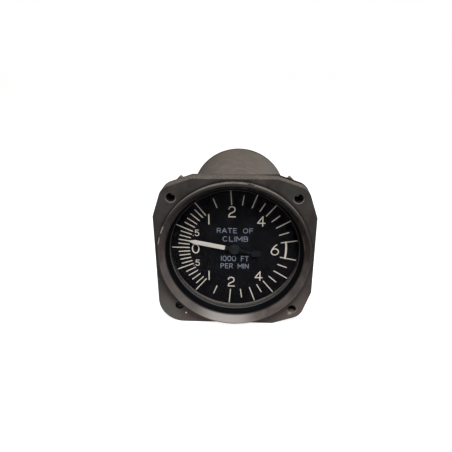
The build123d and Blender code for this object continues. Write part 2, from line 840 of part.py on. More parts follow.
with BuildPart() as hairspring:
    with BuildSketch(facing(hairspring_front)) as ribbon:
        with BuildLine():
            for face_offset in (0, hairspring_gauge):
                for index in range(hairspring_half_turns):
                    ThreePointArc(*half_turn(index, face_offset))
            inner_start = half_turn(0, 0)[0]
            outer_start = half_turn(0, hairspring_gauge)[0]
            inner_end = half_turn(hairspring_half_turns - 1, 0)[2]
            outer_end = half_turn(hairspring_half_turns - 1, hairspring_gauge)[2]
            Line(inner_start, outer_start)
            Line(inner_end, outer_end)
        make_face()
    extrude(ribbon.sketch, amount=-hairspring_width)
save(hairspring, "hairspring")

# Rocking shaft: long arbor from the front plate to the bridge plate
with BuildPart() as rocking_shaft:
    shaft_shoulder = bridge_plate_front - bush_collar - end_play
    stepped_staff(
        front_plate_front + pivot_reach, front_shoulder, shaft_shoulder,
        bridge_plate_rear - pivot_reach, arbor_axis,
    )
save(rocking_shaft, "rocking_shaft")

# Sector gear on the rocking shaft, with a tooth on the line to the pinion
with BuildPart() as sector_gear:
    toothed_sector(
        arbor_axis, pointer_gear_teeth, pointer_sector_teeth, 180, staff_radius + sector_hub_wall,
        gear_front, gear_rear, sector_windows,
    )
    sleeve_rear = gear_rear + sector_sleeve_length
    turn(tube_points(staff_radius, staff_radius + sector_sleeve_wall, gear_rear, sleeve_rear), arbor_axis)
    bar([arbor_axis], staff_radius, gear_front, gear_rear, Mode.SUBTRACT)
save(sector_gear, "sector_gear")

# Balance weight opposite the sector
with BuildPart() as balance_weight:
    with BuildSketch(facing(middle_plate_rear + weight_gap)) as weight_outline:
        with Locations(arbor_axis):
            Circle(staff_radius + crank_hub_wall)
        with Locations((arbor_x + weight_throw, 0)):
            Circle(weight_radius)
        with Locations(arbor_axis):
            Circle(staff_radius, mode=Mode.SUBTRACT)
    extrude(weight_outline.sketch, amount=-weight_length)
save(balance_weight, "balance_weight")

# Crank arm on the rocking shaft, and the pin that the link drives
crank_front = capsule_depth + link_thickness / 2 + side_gap
crank_rear = crank_front + crank_thickness
crank_pin_place = (arbor_x, capsule_height)
with BuildPart() as crank_arm:
    with BuildSketch(facing(crank_front)) as crank_outline:
        with Locations(arbor_axis):
            Circle(staff_radius + crank_hub_wall)
        with Locations(crank_pin_place):
            Circle(crank_pin_radius + crank_pin_wall)
        with Locations((arbor_x, crank_length / 2)):
            Rectangle(crank_web_width, crank_length)
        with Locations(arbor_axis):
            Circle(staff_radius, mode=Mode.SUBTRACT)
        with Locations(crank_pin_place):
            Circle(crank_pin_radius, mode=Mode.SUBTRACT)
    extrude(crank_outline.sketch, amount=-crank_thickness)
    sleeve_end = crank_rear + crank_sleeve_length
    turn(tube_points(staff_radius, staff_radius + crank_sleeve_wall, crank_rear, sleeve_end), arbor_axis)
save(crank_arm, "crank_arm")
with BuildPart() as crank_pin:
    pin_front = capsule_depth - link_thickness / 2 - side_gap
    bar([crank_pin_place], crank_pin_radius, pin_front, crank_rear)
    bar([crank_pin_place], crank_pin_radius + crank_pin_head, pin_front - crank_pin_head, pin_front)
save(crank_pin, "crank_pin")

# Capsule: two corrugated shells soldered at the rim, on an axis across the instrument
capsule_centre = (capsule_middle, capsule_depth, capsule_height)
capsule_plane = Plane(origin=capsule_centre, x_dir=(0, 1, 0), z_dir=(0, 0, 1))
corrugated_width = capsule_radius - capsule_rim_width - capsule_hub_radius - capsule_rim_width
corrugation_pitch = corrugated_width / corrugation_count


def shell_points(side, hub_reach):
    """Half section of one shell as (radius, height); side is +1 towards the link, -1 away."""
    outer = [(capsule_radius, 0), (capsule_radius, capsule_rim)]
    rise = (capsule_bulge - capsule_rim) / corrugation_count
    for index in range(corrugation_count):
        radius = capsule_radius - capsule_rim_width - corrugation_pitch * index
        height = capsule_rim + rise * index
        crest = height + rise + corrugation_height
        outer += [(radius, height), (radius - corrugation_pitch * corrugation_crest, crest)]
    outer += [
        (capsule_hub_radius + capsule_rim_width, capsule_bulge), (capsule_hub_radius, capsule_bulge),
        (capsule_hub_radius, hub_reach), (0, hub_reach),
    ]
    inner_height = capsule_bulge - capsule_sheet
    hollow = [(0, inner_height), (capsule_hub_radius, inner_height), (capsule_radius - 1, 0)]
    return [(r, -side * h) for r, h in outer + hollow]


base_reach = capsule_middle - bracket_place - bracket_thickness
free_reach = capsule_bulge + capsule_hub_height
for name, side, reach in (
    ("capsule_base_shell", -1, base_reach),
    ("capsule_free_shell", 1, free_reach),
):
    with BuildPart() as shell:
        with BuildSketch(capsule_plane) as shell_profile:
            with BuildLine():
                Polyline(*shell_points(side, reach), close=True)
            make_face()
        revolve(shell_profile.sketch, axis=Axis(capsule_centre, (1, 0, 0)))
    save(shell, name)

# Capsule boss and link: they carry the capsule's movement to the crank
boss_start = capsule_middle + free_reach + end_play
boss_end = boss_start + boss_flange_height + boss_barrel_height
link_start = boss_end - boss_bore_depth
across = Plane(origin=(0, capsule_depth, capsule_height), x_dir=(0, 1, 0), z_dir=(1, 0, 0))
with BuildPart() as capsule_boss:
    with BuildSketch(across.offset(boss_start)):
        Circle(capsule_hub_radius - boss_wall)
    extrude(amount=boss_flange_height)
    with BuildSketch(across.offset(boss_start)):
        Circle(link_radius + boss_wall)
    extrude(amount=boss_end - boss_start)
    with BuildSketch(across.offset(link_start)):
        Circle(link_radius)
    extrude(amount=boss_bore_depth, mode=Mode.SUBTRACT)
save(capsule_boss, "capsule_boss")
with BuildPart() as link_rod:
    link_end = arbor_x - link_eye_radius + link_radius / 2
    with BuildSketch(across.offset(link_start)):
        Circle(link_radius)
    extrude(amount=link_end - link_start)
    eye_front = capsule_depth - link_thickness / 2
    eye_rear = eye_front + link_thickness
    bar([crank_pin_place], link_eye_radius, eye_front, eye_rear)
    eye_bore = crank_pin_radius + link_eye_clearance
    bar([crank_pin_place], eye_bore, eye_front - 1, eye_rear + 1, Mode.SUBTRACT)
save(link_rod, "link_rod")

# Capsule bracket: angle piece from the bridge plate to the base of the capsule
bracket_front = capsule_depth - bracket_width / 2
inlet_bore_radius = tube_radius + inlet_wall
with BuildPart() as capsule_bracket:
    arm = Plane(origin=(bracket_place, 0, 0), x_dir=(0, 1, 0), z_dir=(1, 0, 0))
    with BuildSketch(arm) as arm_outline:
        with Locations(((bracket_front + bridge_plate_front) / 2, capsule_height)):
            Rectangle(bridge_plate_front - bracket_front, bracket_width)
        front_corners = vertices().group_by(Axis.X)[0]
        fillet(front_corners, bracket_width / 4)
        with Locations((capsule_depth, capsule_height)):
            Circle(inlet_bore_radius, mode=Mode.SUBTRACT)
    extrude(arm_outline.sketch, amount=bracket_thickness)
    foot_middle = bracket_place + bracket_thickness / 2 + bracket_foot / 2
    with BuildSketch(facing(bridge_plate_front - bracket_thickness)) as foot_outline:
        with Locations((foot_middle, capsule_height)):
            Rectangle(bracket_foot, bracket_width)
    extrude(foot_outline.sketch, amount=-bracket_thickness)
save(capsule_bracket, "capsule_bracket")

# Inlet post in the bracket: the tube is soldered into it, and it opens into the capsule
with BuildPart() as inlet_post:
    with BuildSketch(across.offset(bracket_place - inlet_head_height)):
        Circle(inlet_bore_radius + inlet_head)
        Circle(tube_radius, mode=Mode.SUBTRACT)
    extrude(amount=inlet_head_height)
    with BuildSketch(across.offset(bracket_place)):
        Circle(inlet_bore_radius)
        Circle(tube_bore, mode=Mode.SUBTRACT)
    extrude(amount=bracket_thickness)
save(inlet_post, "inlet_post")

# Static tube from the manifold to the capsule
tube_depth = (manifold_front + lip_front) / 2
with BuildPart() as static_tube:
    with BuildLine() as route:
        FilletPolyline(
            (-manifold_width / 2, tube_depth, capsule_height),
            (tube_side, tube_depth, capsule_height),
            (tube_side, capsule_depth, capsule_height),
            (bracket_place, capsule_depth, capsule_height),
            radius=[tube_bend, inlet_bend],
        )
    with BuildSketch(Plane(origin=route.line @ 0, z_dir=route.line % 0)):
        Circle(tube_radius)
    sweep()
save(static_tube, "static_tube")

# Accelerometer pumps: a weighted piston on a spring in each cylinder
pump_base = -pump_height / 2
piston_bottom = piston_rest - piston_length / 2


def upright(centre, radius, bottom, height, inner=0, mode=Mode.ADD):
    """Upright round bar, or a ring with an inner radius, about centre (x, y)."""
    with BuildSketch(Plane.XY.offset(bottom)) as outline:
        with Locations(centre):
            Circle(radius)
            if inner:
                Circle(inner, mode=Mode.SUBTRACT)
    extrude(outline.sketch, amount=height, mode=mode)


for side_name, pump_x in pump_sides.items():
    pump_centre = (pump_x, pump_depth)
    with BuildPart() as cylinder:
        upright(pump_centre, pump_radius, pump_base, pump_height)
        with BuildSketch(facing(bridge_plate_rear)) as foot:
            with Locations((pump_x, 0)):
                Rectangle(pump_foot_width, pump_foot_height)
        extrude(foot.sketch, amount=bridge_plate_rear - pump_depth)
        upright(pump_centre, pump_bore, pump_base, pump_height, mode=Mode.SUBTRACT)
        own_screws = [place for place in pump_screw_places if place[0] == pump_x]
        own_holes_end = bridge_plate_rear + pump_screw_reach + thread_gap
        bar(own_screws, screw_shank_radius, bridge_plate_rear, own_holes_end, Mode.SUBTRACT)
        port_height = pump_height / 2 - pump_cap_plug - pump_port_inset
        ports = [(pump_x, port_height), (pump_x, -port_height)]
        bar(ports, pump_port_radius, pump_depth, pump_depth + pump_radius + 1, Mode.SUBTRACT)
    save(cylinder, f"pump_cylinder_{side_name}")

    with BuildPart() as piston:
        upright(pump_centre, pump_bore - piston_gap, piston_bottom, piston_length)
        seat_outer = pump_spring_radius + spring_seat_margin
        seat_inner = pump_spring_radius - spring_seat_margin
        upright(pump_centre, seat_outer, piston_bottom, spring_seat_depth, seat_inner, Mode.SUBTRACT)
        groove_bottom = piston_rest - piston_groove_width / 2
        groove_floor = pump_bore - piston_groove
        upright(pump_centre, pump_bore, groove_bottom, piston_groove_width, groove_floor, Mode.SUBTRACT)
    save(piston, f"piston_{side_name}")

    spring_bottom = pump_base + pump_cap_plug + pump_spring_wire
    spring_top = piston_bottom + spring_seat_depth - spring_end_gap - pump_spring_wire
    with BuildPart() as pump_spring:
        with BuildLine() as coil:
            Helix(
                pitch=(spring_top - spring_bottom) / pump_spring_turns,
                height=spring_top - spring_bottom,
                radius=pump_spring_radius,
                center=(pump_x, pump_depth, spring_bottom),
            )
        with BuildSketch(Plane(origin=coil.line @ 0, z_dir=coil.line % 0)):
            RegularPolygon(pump_spring_wire, 6)
        sweep(is_frenet=True)
    save(pump_spring, f"pump_spring_{side_name}")

# Top caps and bottom plugs of the pumps
for name, sign in (("pump_caps", 1), ("pump_plugs", -1)):
    with BuildPart() as covers:
        for pump_x in pump_sides.values():
            pump_centre = (pump_x, pump_depth)
            seat = sign * pump_height / 2
            upright(pump_centre, pump_radius, seat, sign * pump_cap_height)
            upright(pump_centre, pump_bore - thread_gap, seat, -sign * pump_cap_plug)
            with BuildSketch(Plane.XY.offset(seat + sign * pump_cap_height)) as key_slot:
                with Locations(pump_centre):
                    Rectangle(2 * pump_radius, pump_key_width)
            extrude(key_slot.sketch, amount=-sign * pump_key_depth, mode=Mode.SUBTRACT)
    save(covers, name)

# Screws that hold the pump feet to the bridge plate
with BuildPart() as pump_screws:
    head_front = bridge_plate_front - pillar_screw_height
    shank_end = bridge_plate_rear + pump_screw_reach
    bar(pump_screw_places, pillar_screw_radius, head_front, bridge_plate_front)
    bar(pump_screw_places, screw_shank_radius - thread_gap, bridge_plate_front, shank_end)
save(pump_screws, "pump_screws")

# Rear cover with its spigot, seal and screws
cover_spigot = rear_lip_bore - cover_gap
seal_middle = (lip_front + barrel_end) / 2
seal_radius = rear_lip_bore - seal_section - running_gap
groove_floor = seal_radius - seal_section - thread_gap
groove_half = seal_section + cover_gap
head_seat = cover_rear - rear_screw_height
with BuildPart() as rear_cover:
    bar([(0, 0)], barrel_radius + cover_overhang, barrel_end, cover_rear)
    outer_rim = edges().filter_by(GeomType.CIRCLE).sort_by(Axis.Y)[-1]
    chamfer(outer_rim, cover_chamfer)
    bar([(0, 0)], cover_spigot, lip_front, barrel_end)
    groove = tube_points(groove_floor, cover_spigot + 1, seal_middle - groove_half, seal_middle + groove_half)
    turn(groove, mode=Mode.SUBTRACT)
    bar([(0, 0)], port_shank_radius, lip_front, cover_rear, Mode.SUBTRACT)
    bar(rear_screws, screw_shank_radius + fit_gap, barrel_end, cover_rear, Mode.SUBTRACT)
    bar(rear_screws, rear_screw_radius + rear_screw_gap, head_seat, cover_rear, Mode.SUBTRACT)
save(rear_cover, "rear_cover")
with BuildPart() as rear_seal:
    with BuildSketch(Plane.XY) as seal_profile:
        with Locations((seal_radius, seal_middle)):
            RegularPolygon(seal_section, seal_sides)
    revolve(seal_profile.sketch, axis=Axis.Y)
save(rear_seal, "rear_seal")
with BuildPart() as rear_cover_screws:
    bar(rear_screws, rear_screw_radius, head_seat, cover_rear)
    bar(rear_screws, screw_shank_radius - thread_gap, barrel_end - rear_screw_reach, head_seat)
save(rear_cover_screws, "rear_cover_screws")

# Static port: hexagonal fitting screwed through the rear cover
with BuildPart() as static_port:
    with BuildSketch(facing(cover_rear)) as port_head:
        RegularPolygon(port_hex / sqrt(3), 6)
    extrude(port_head.sketch, amount=-port_hex_height)
    bar([(0, 0)], port_shank_radius, lip_front, cover_rear)
    bar([(0, 0)], port_radius, port_bottom, port_rear, Mode.SUBTRACT)
    bar([(0, 0)], port_passage_radius, lip_front, port_bottom, Mode.SUBTRACT)
save(static_port, "static_port")

# Manifold inside the rear cover, and the calibrated restrictor on its side
with BuildPart() as manifold:
    with BuildSketch(facing(manifold_front)) as manifold_outline:
        RectangleRounded(manifold_width, manifold_height, manifold_corner)
    extrude(manifold_outline.sketch, amount=-manifold_length)
    bar([(0, 0)], port_passage_radius, tube_depth - 1, lip_front, Mode.SUBTRACT)
save(manifold, "manifold")
sideways = Plane(origin=(0, tube_depth, 0), x_dir=(0, 1, 0), z_dir=(1, 0, 0))
with BuildPart() as restrictor:
    restrictor_start = manifold_width / 2
    with BuildSketch(sideways.offset(restrictor_start)):
        RegularPolygon(restrictor_radius, 6)
    extrude(amount=restrictor_head)
    with BuildSketch(sideways.offset(restrictor_start + restrictor_head)):
        Circle(restrictor_radius - restrictor_step)
    extrude(amount=restrictor_length - restrictor_head)
    with BuildSketch(sideways.offset(restrictor_start + restrictor_length)) as jet:
        Circle(tube_bore)
    extrude(jet.sketch, amount=-restrictor_length / 2, mode=Mode.SUBTRACT)
save(restrictor, "restrictor")

# Zero adjuster: slotted screw, its bush and seal, and a pinion that turns the zero lever
with BuildPart() as zero_screw:
    bar([zero_axis], zero_head_radius, zero_head_front, zero_head_rear)
    bar([zero_axis], zero_shaft_radius, zero_head_rear, shaft_hole_end - zero_shaft_end_gap)
    with BuildSketch(facing(zero_head_front)) as driver_slot:
        with Locations(Location(zero_axis, zero_slot_angle)):
            Rectangle(2 * zero_head_radius + 1, zero_slot_width)
    extrude(driver_slot.sketch, amount=-zero_slot_depth, mode=Mode.SUBTRACT)
save(zero_screw, "zero_screw")
zero_bore = zero_shaft_radius + running_gap
bush_front = zero_head_rear + zero_bush_gap
seal_front = bush_front + zero_seal_offset
seal_rear = seal_front + zero_seal_length
with BuildPart() as zero_bush:
    turn([
        (zero_bore, bush_front), (zero_bush_radius, bush_front),
        (zero_bush_radius, zero_pocket_front), (zero_bore, zero_pocket_front),
        (zero_bore, seal_rear), (zero_bore + zero_seal_groove, seal_rear),
        (zero_bore + zero_seal_groove, seal_front), (zero_bore, seal_front),
    ], zero_axis)
save(zero_bush, "zero_bush")
with BuildPart() as zero_seal:
    seal_outer = zero_bore + zero_seal_groove - bezel_seat_gap
    turn(tube_points(zero_bore, seal_outer, seal_front + fit_gap, seal_rear - fit_gap), zero_axis)
save(zero_seal, "zero_seal")
lever_rear = zero_lever_front + zero_lever_thickness
with BuildPart() as zero_pinion:
    first_tooth = zero_angle + 180 + 180 / pinion_teeth
    wheel_front = zero_lever_front - zero_pinion_overlap
    wheel_rear = lever_rear + zero_pinion_overlap
    toothed_wheel(zero_axis, first_tooth, wheel_front, wheel_rear, zero_shaft_radius)
save(zero_pinion, "zero_pinion")

# Zero lever: toothed fan outwards, arm inwards to the hairspring stud
with BuildPart() as zero_lever:
    toothed_sector(
        lever_axis, zero_gear_teeth, zero_sector_teeth, zero_angle, lever_post_radius + lever_hub_wall,
        zero_lever_front, lever_rear,
    )
    with BuildSketch(facing(zero_lever_front)) as arm_shape:
        with Locations(stud_axis):
            Circle(stud_radius + stud_wall)
        with Locations(Location(polar((stud_distance + lever_distance) / 2, zero_angle), zero_angle)):
            Rectangle(stud_arm, lever_arm_width)
    extrude(arm_shape.sketch, amount=-zero_lever_thickness)
    bar([lever_axis], lever_post_radius + running_gap, zero_lever_front, lever_rear, Mode.SUBTRACT)
    bar([stud_axis], stud_radius, zero_lever_front, lever_rear, Mode.SUBTRACT)
save(zero_lever, "zero_lever")
with BuildPart() as hairspring_stud:
    stud_shoulder = hairspring_front - collet_margin
    bar([stud_axis], stud_radius, zero_lever_front, stud_shoulder)
    bar([stud_axis], stud_radius - stud_step, stud_shoulder, hairspring_rear + stud_reach)
save(hairspring_stud, "hairspring_stud")
with BuildPart() as lever_post:
    collar_front = zero_lever_front - lever_play
    collar_rear = lever_rear + lever_play
    post_front = collar_front - lever_post_collar * 0.7
    bar([lever_axis], lever_post_radius + lever_post_collar, post_front, collar_front)
    bar([lever_axis], lever_post_radius, collar_front, collar_rear)
    bar([lever_axis], lever_post_radius + lever_post_collar, collar_rear, front_plate_front)
    bar([lever_axis], screw_shank_radius, front_plate_front, ledge)
save(lever_post, "lever_post")

# Mounting nuts: a corner of each plate points away from the middle of the flange
with BuildPart() as mounting_nuts:
    plate_rear = flange_thickness + nut_plate_thickness
    for hole_x, hole_z in mount_holes:
        side_x, side_z = copysign(1, hole_x), copysign(1, hole_z)
        plate_middle = (hole_x - side_x * nut_plate_inset_x, hole_z - side_z * nut_plate_inset_z)
        with BuildSketch(facing(flange_thickness)) as nut_outline:
            with Locations(Location(plate_middle, 45)):
                RectangleRounded(nut_plate_side, nut_plate_side, nut_plate_corner)
            Circle(collar_radius + fit_gap, mode=Mode.SUBTRACT)
        extrude(nut_outline.sketch, amount=-nut_plate_thickness)
    bar(mount_holes, nut_boss_radius, plate_rear, plate_rear + nut_boss_length)
    bar(mount_holes, nut_bore, flange_thickness, plate_rear + nut_boss_length, Mode.SUBTRACT)
save(mounting_nuts, "mounting_nuts")
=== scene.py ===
import json
from math import asin, atan2, cos, pi, radians, sin

import bmesh
import bpy
from mathutils import Matrix, Vector


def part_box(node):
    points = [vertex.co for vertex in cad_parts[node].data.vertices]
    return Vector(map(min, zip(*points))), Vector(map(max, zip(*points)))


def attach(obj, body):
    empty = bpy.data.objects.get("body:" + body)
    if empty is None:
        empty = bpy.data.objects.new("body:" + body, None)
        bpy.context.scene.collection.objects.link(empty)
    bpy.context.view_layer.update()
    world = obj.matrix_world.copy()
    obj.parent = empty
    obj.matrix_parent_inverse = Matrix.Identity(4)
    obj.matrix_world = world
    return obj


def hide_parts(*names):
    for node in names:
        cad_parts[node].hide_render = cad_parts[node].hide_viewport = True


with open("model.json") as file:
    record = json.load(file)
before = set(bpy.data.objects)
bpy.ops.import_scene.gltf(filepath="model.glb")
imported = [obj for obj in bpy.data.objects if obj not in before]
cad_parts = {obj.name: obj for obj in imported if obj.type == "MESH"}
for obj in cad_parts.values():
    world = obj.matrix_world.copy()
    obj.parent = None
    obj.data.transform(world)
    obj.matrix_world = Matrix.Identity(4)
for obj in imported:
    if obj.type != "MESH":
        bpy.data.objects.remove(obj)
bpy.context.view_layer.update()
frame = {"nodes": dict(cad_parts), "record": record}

# Lengths are in millimetres, apart from those that a name or comment gives in metres
MM = 0.001

# Camera, worked out from the photograph's outline
CAMERA_PLACE = (5.6, -183.9, 90.0)
CAMERA_BACK = (0.0489, -0.9276, 0.3703)
CAMERA_UP = (-0.0135, 0.3701, 0.9289)
SENSOR_WIDTH = 36.0
IMAGE_WIDTH = 452
FOCAL_PIXELS = 393.8
CLIP_METRES = (0.01, 50.0)

# Studio: each lamp's name, place and size in metres, watts and colour. All aim at the flange's middle
LAMPS = (
    ("overhead", (0.08, -0.38, 0.67), 0.3, 11.5, (1.0, 0.985, 0.96)),
    ("front", (0.25, -0.85, 0.3), 0.5, 0.8, (1.0, 1.0, 1.0)),
)
WORLD_TINT = (1.0, 0.99, 0.97)
WORLD_STRENGTH = 0.24
WHITE = (1.0, 1.0, 1.0)
FLOOR_GREY = ((0.38, 0.38, 0.38), (0.42, 0.42, 0.42))
FLOOR_GLOW = 0.9
FLOOR_HALF_METRES = 12.0
FLOOR_GAP = 0.05


def box_mm(node):
    """Lowest and highest corner of a CAD node in millimetres."""
    low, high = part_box(node)
    return low / MM, high / MM


# Places that the frame gives
CASE_LOW = box_mm("case_body")[0]
RING_LOW, RING_HIGH = box_mm("bezel_ring")
RING_RADIUS = RING_HIGH.x
RING_FRONT = RING_LOW.y
DIAL_FRONT = box_mm("dial_plate")[0].y
PORT_REAR = box_mm("static_port")[1].y
COVER_SCREWS_LOW, COVER_SCREWS_HIGH = box_mm("rear_cover_screws")
ZERO_LOW, ZERO_HIGH = box_mm("zero_screw")
ZERO_PLACE = ((ZERO_LOW.x + ZERO_HIGH.x) / 2, (ZERO_LOW.z + ZERO_HIGH.z) / 2)

# Sizes of the case, mask and bezel that their boxes don't give, as in the part
HOLE_PLACE = 31.43
HOLE_RADIUS = 2.05
HOLES = ((-HOLE_PLACE, HOLE_PLACE), (HOLE_PLACE, HOLE_PLACE), (HOLE_PLACE, -HOLE_PLACE))
LOWER_HOLE = HOLES[2]
FLANGE_REAR = 9.0
BARREL_START = 20.8
MASK_INNER = 34.0
WINDOW_RADIUS = 35.9

# Marks in the paint, as x and z on the front, and one on the rim as x and y. The small dot is a painted
# glint, and the patch below the lower right hole is rubbed metal with a painted highlight
GREY_CORNER = (-36.5, -34.0)
GLINT_SPOT = (-26.5, -35.5)
NICK = (CASE_LOW.x + 0.6, -14.5)
RUBBED_LIT_PATCH = (HOLE_PLACE - 1.0, -HOLE_PLACE - 2.7)
FLAKE_X = 7.9
FLAKE_Y = RING_FRONT + 1.9

# Screws of the rear cover
HEAD_RADIUS = 2.0
HEAD_HEIGHT = 1.2
HEAD_CHAMFER = 0.25
HEAD_STEPS = 16
SHANK_RADIUS = 1.2
SCREW_SLOT = 0.55
SCREW_COUNT = 6
SCREW_CIRCLE = COVER_SCREWS_HIGH.z - HEAD_RADIUS
FIRST_SLOT_ANGLE = 37
NEXT_SLOT_ANGLE = 71

# Pipe thread of the port, 27 to the inch
PORT_WALL = 4.37
PORT_DEPTH = 9.3
THREAD_PITCH = 0.94
THREAD_HEIGHT = 0.5
THREAD_HALF_WIDTH = 0.45 * THREAD_PITCH
THREAD_STEPS = 24

# Dial marks
DIAL_ROLL = -0.8
MARK_HEIGHT = 0.05
STEP_APART = 0.0015
LONG_OUTER = 33.85
SHORT_OUTER = 30.5
INNER_FINE = 24.2
INNER_COARSE = 24.9
TICK_WIDTH = 0.52
CAP_STEPS = 6
# Degrees from 9 o'clock, the same up and down, for each thousand feet per minute
SCALE = {
    0.0: 0.0, 0.1: 4.7, 0.2: 9.1, 0.3: 13.8, 0.4: 18.6, 0.5: 23.1, 0.6: 29.0, 0.7: 34.2,
    0.8: 39.9, 0.9: 45.9, 1.0: 50.7, 1.5: 67.8, 2.0: 85.7, 2.5: 98.4, 3.0: 110.3, 3.5: 120.5,
    4.0: 130.1, 4.5: 140.0, 5.0: 149.8, 5.5: 160.0, 6.0: 170.2,
}
LONG_MARKS = (0.0, 0.5, 1.0, 2.0, 3.0, 4.0, 5.0, 6.0)
STOP_ARC_RADIUS = 27.6
STOP_ARC_WIDTH = 0.95
STOP_ARC_STEPS = 16

# Numerals: each one's sign, middle, width and height
NUMERALS = (
    ("2", (-1.37, 21.15), 4.0, 6.1), ("4", (13.95, 16.03), 4.4, 5.9), ("6", (21.65, -0.25), 4.4, 6.5),
    ("4", (13.3, -16.3), 4.4, 5.9), ("2", (-1.8, -20.2), 4.0, 6.1), ("1", (-13.55, 16.84), 0.8, 5.9),
    ("1", (-14.13, -16.53), 0.8, 5.9), ("0", (-21.07, -0.25), 4.1, 5.7),
)
NUMERAL_STROKE = 0.56
# The two small halves, by the middle of the five, with a point at its left
HALVES = ((-20.0, 9.04), (-20.25, -8.74))
HALF_HEIGHT = 3.7
HALF_STROKE = NUMERAL_STROKE * 0.72
FIVE_WIDTH = 2.5
POINT_WIDTH = 0.7
POINT_AWAY = 2.1

# Plain words for what is measured and its unit: each line's middle, height and length
LEGEND = (
    ("RATE OF", (0.19, 10.54), 2.9, 19.4), ("CLIMB", (0.41, 5.76), 3.1, 13.6),
    ("1000 FT", (0.03, -5.84), 3.2, 15.2), ("PER MIN", (0.04, -10.35), 3.0, 15.6),
)
LEGEND_STROKE = 0.38

# Pointer, as in the part's own sizes
POINTER_ANGLE = 180 - 10.9
WHITE_START = 5.3

# Colours of the case. A pair is the two tones that a finish is mottled with
ENAMEL = ((0.017, 0.0153, 0.0145), (0.029, 0.0262, 0.0245))
PINKISH = (0.046, 0.035, 0.0335)
GREENISH = (0.03, 0.0305, 0.0262)
PAINTED_BOUNCE_LIGHT = (0.09, 0.073, 0.067)
CORNER_GREY = (0.066, 0.068, 0.06)
BARREL_ENAMEL = ((0.033, 0.0275, 0.0235), (0.068, 0.057, 0.05))
BARREL_GREEN = (0.098, 0.098, 0.088)
BARREL_BROWN = (0.03, 0.0235, 0.0185)
DUST_AND_TOP_LIGHT = (0.112, 0.097, 0.085)
DIRT_AND_SHADE = (0.005, 0.0044, 0.004)
SPECKS = (0.085, 0.077, 0.072)
THIN_PAINT = (0.09, 0.081, 0.076)
LIP_METAL_AND_HIGHLIGHT = (0.14, 0.13, 0.12)
WALL_METAL_AND_LIGHT = (0.115, 0.09, 0.075)
PATCH_METAL_AND_HIGHLIGHT = (0.25, 0.215, 0.2)
GLINT_WHITE = (0.75, 0.7, 0.66)
NICK_METAL = (0.13, 0.12, 0.11)

# Colours of the bezel, mask and glass
BEZEL_ENAMEL = ((0.036, 0.0285, 0.0265), (0.06, 0.05, 0.047))
LATHE_LIGHT = (0.085, 0.077, 0.074)
SHADED = (0.006, 0.0048, 0.0044)
LOW_LEFT_PAINTED_LIGHT = (0.085, 0.08, 0.077)
BOTTOM_PAINTED_HIGHLIGHT = (0.17, 0.153, 0.146)
BARE_METAL = (0.09, 0.08, 0.073)
WORN_BRIGHT = (0.145, 0.134, 0.124)
BRASS_STREAK_AND_HIGHLIGHT = (0.19, 0.105, 0.055)
MASK_BLACK = ((0.0012, 0.0013, 0.0019), (0.0026, 0.0028, 0.0038))
MASK_LIP_HIGHLIGHT = (0.055, 0.054, 0.053)
GLASS_TINT = ((0.95, 0.96, 0.97), (0.97, 0.98, 0.99))
GLASS_SHADOW = (0.96, 0.97, 0.98)

# Colours of the dial and pointer, seals and metals
DIAL_LACQUER = ((0.004, 0.004, 0.0048), (0.0062, 0.006, 0.0075))
MARK_CREAM = ((0.56, 0.5, 0.43), (0.45, 0.4, 0.34))
MARK_BLUE_GREY = ((0.165, 0.178, 0.225), (0.115, 0.124, 0.158))
# Print painted darker at the top of the dial, as the bezel's shadow, keeps this share of its second tone
TOP_SHADE_SHARE = 0.3
POINTER_WHITE = ((0.45, 0.412, 0.38), (0.39, 0.355, 0.325))
POINTER_BLACK = ((0.005, 0.0058, 0.0072), (0.009, 0.01, 0.012))
HUB_BLACK = ((0.007, 0.008, 0.01), (0.012, 0.013, 0.0155))
RUBBER = ((0.012, 0.012, 0.012), (0.03, 0.029, 0.028))
MOVEMENT_BRASS = ((0.72, 0.53, 0.25), (0.4, 0.28, 0.13))
BRIGHT_STEEL = ((0.55, 0.54, 0.53), (0.27, 0.26, 0.25))
AGED_STEEL = ((0.3, 0.295, 0.285), (0.1, 0.095, 0.09))
DARK_STEEL = ((0.018, 0.0185, 0.018), (0.007, 0.007, 0.007))
ALUMINIUM = ((0.68, 0.68, 0.69), (0.5, 0.5, 0.51))
BRONZE = ((0.66, 0.42, 0.23), (0.36, 0.22, 0.13))
NUT_BRASS = ((0.2, 0.178, 0.145), (0.085, 0.074, 0.062))
COPPER = ((0.7, 0.38, 0.24), (0.35, 0.19, 0.12))

# Steel that has lost its shine: the adjuster's head and the end of the pointer's staff
DARKENED = ("zero_screw", "pointer_staff")


# Node helpers

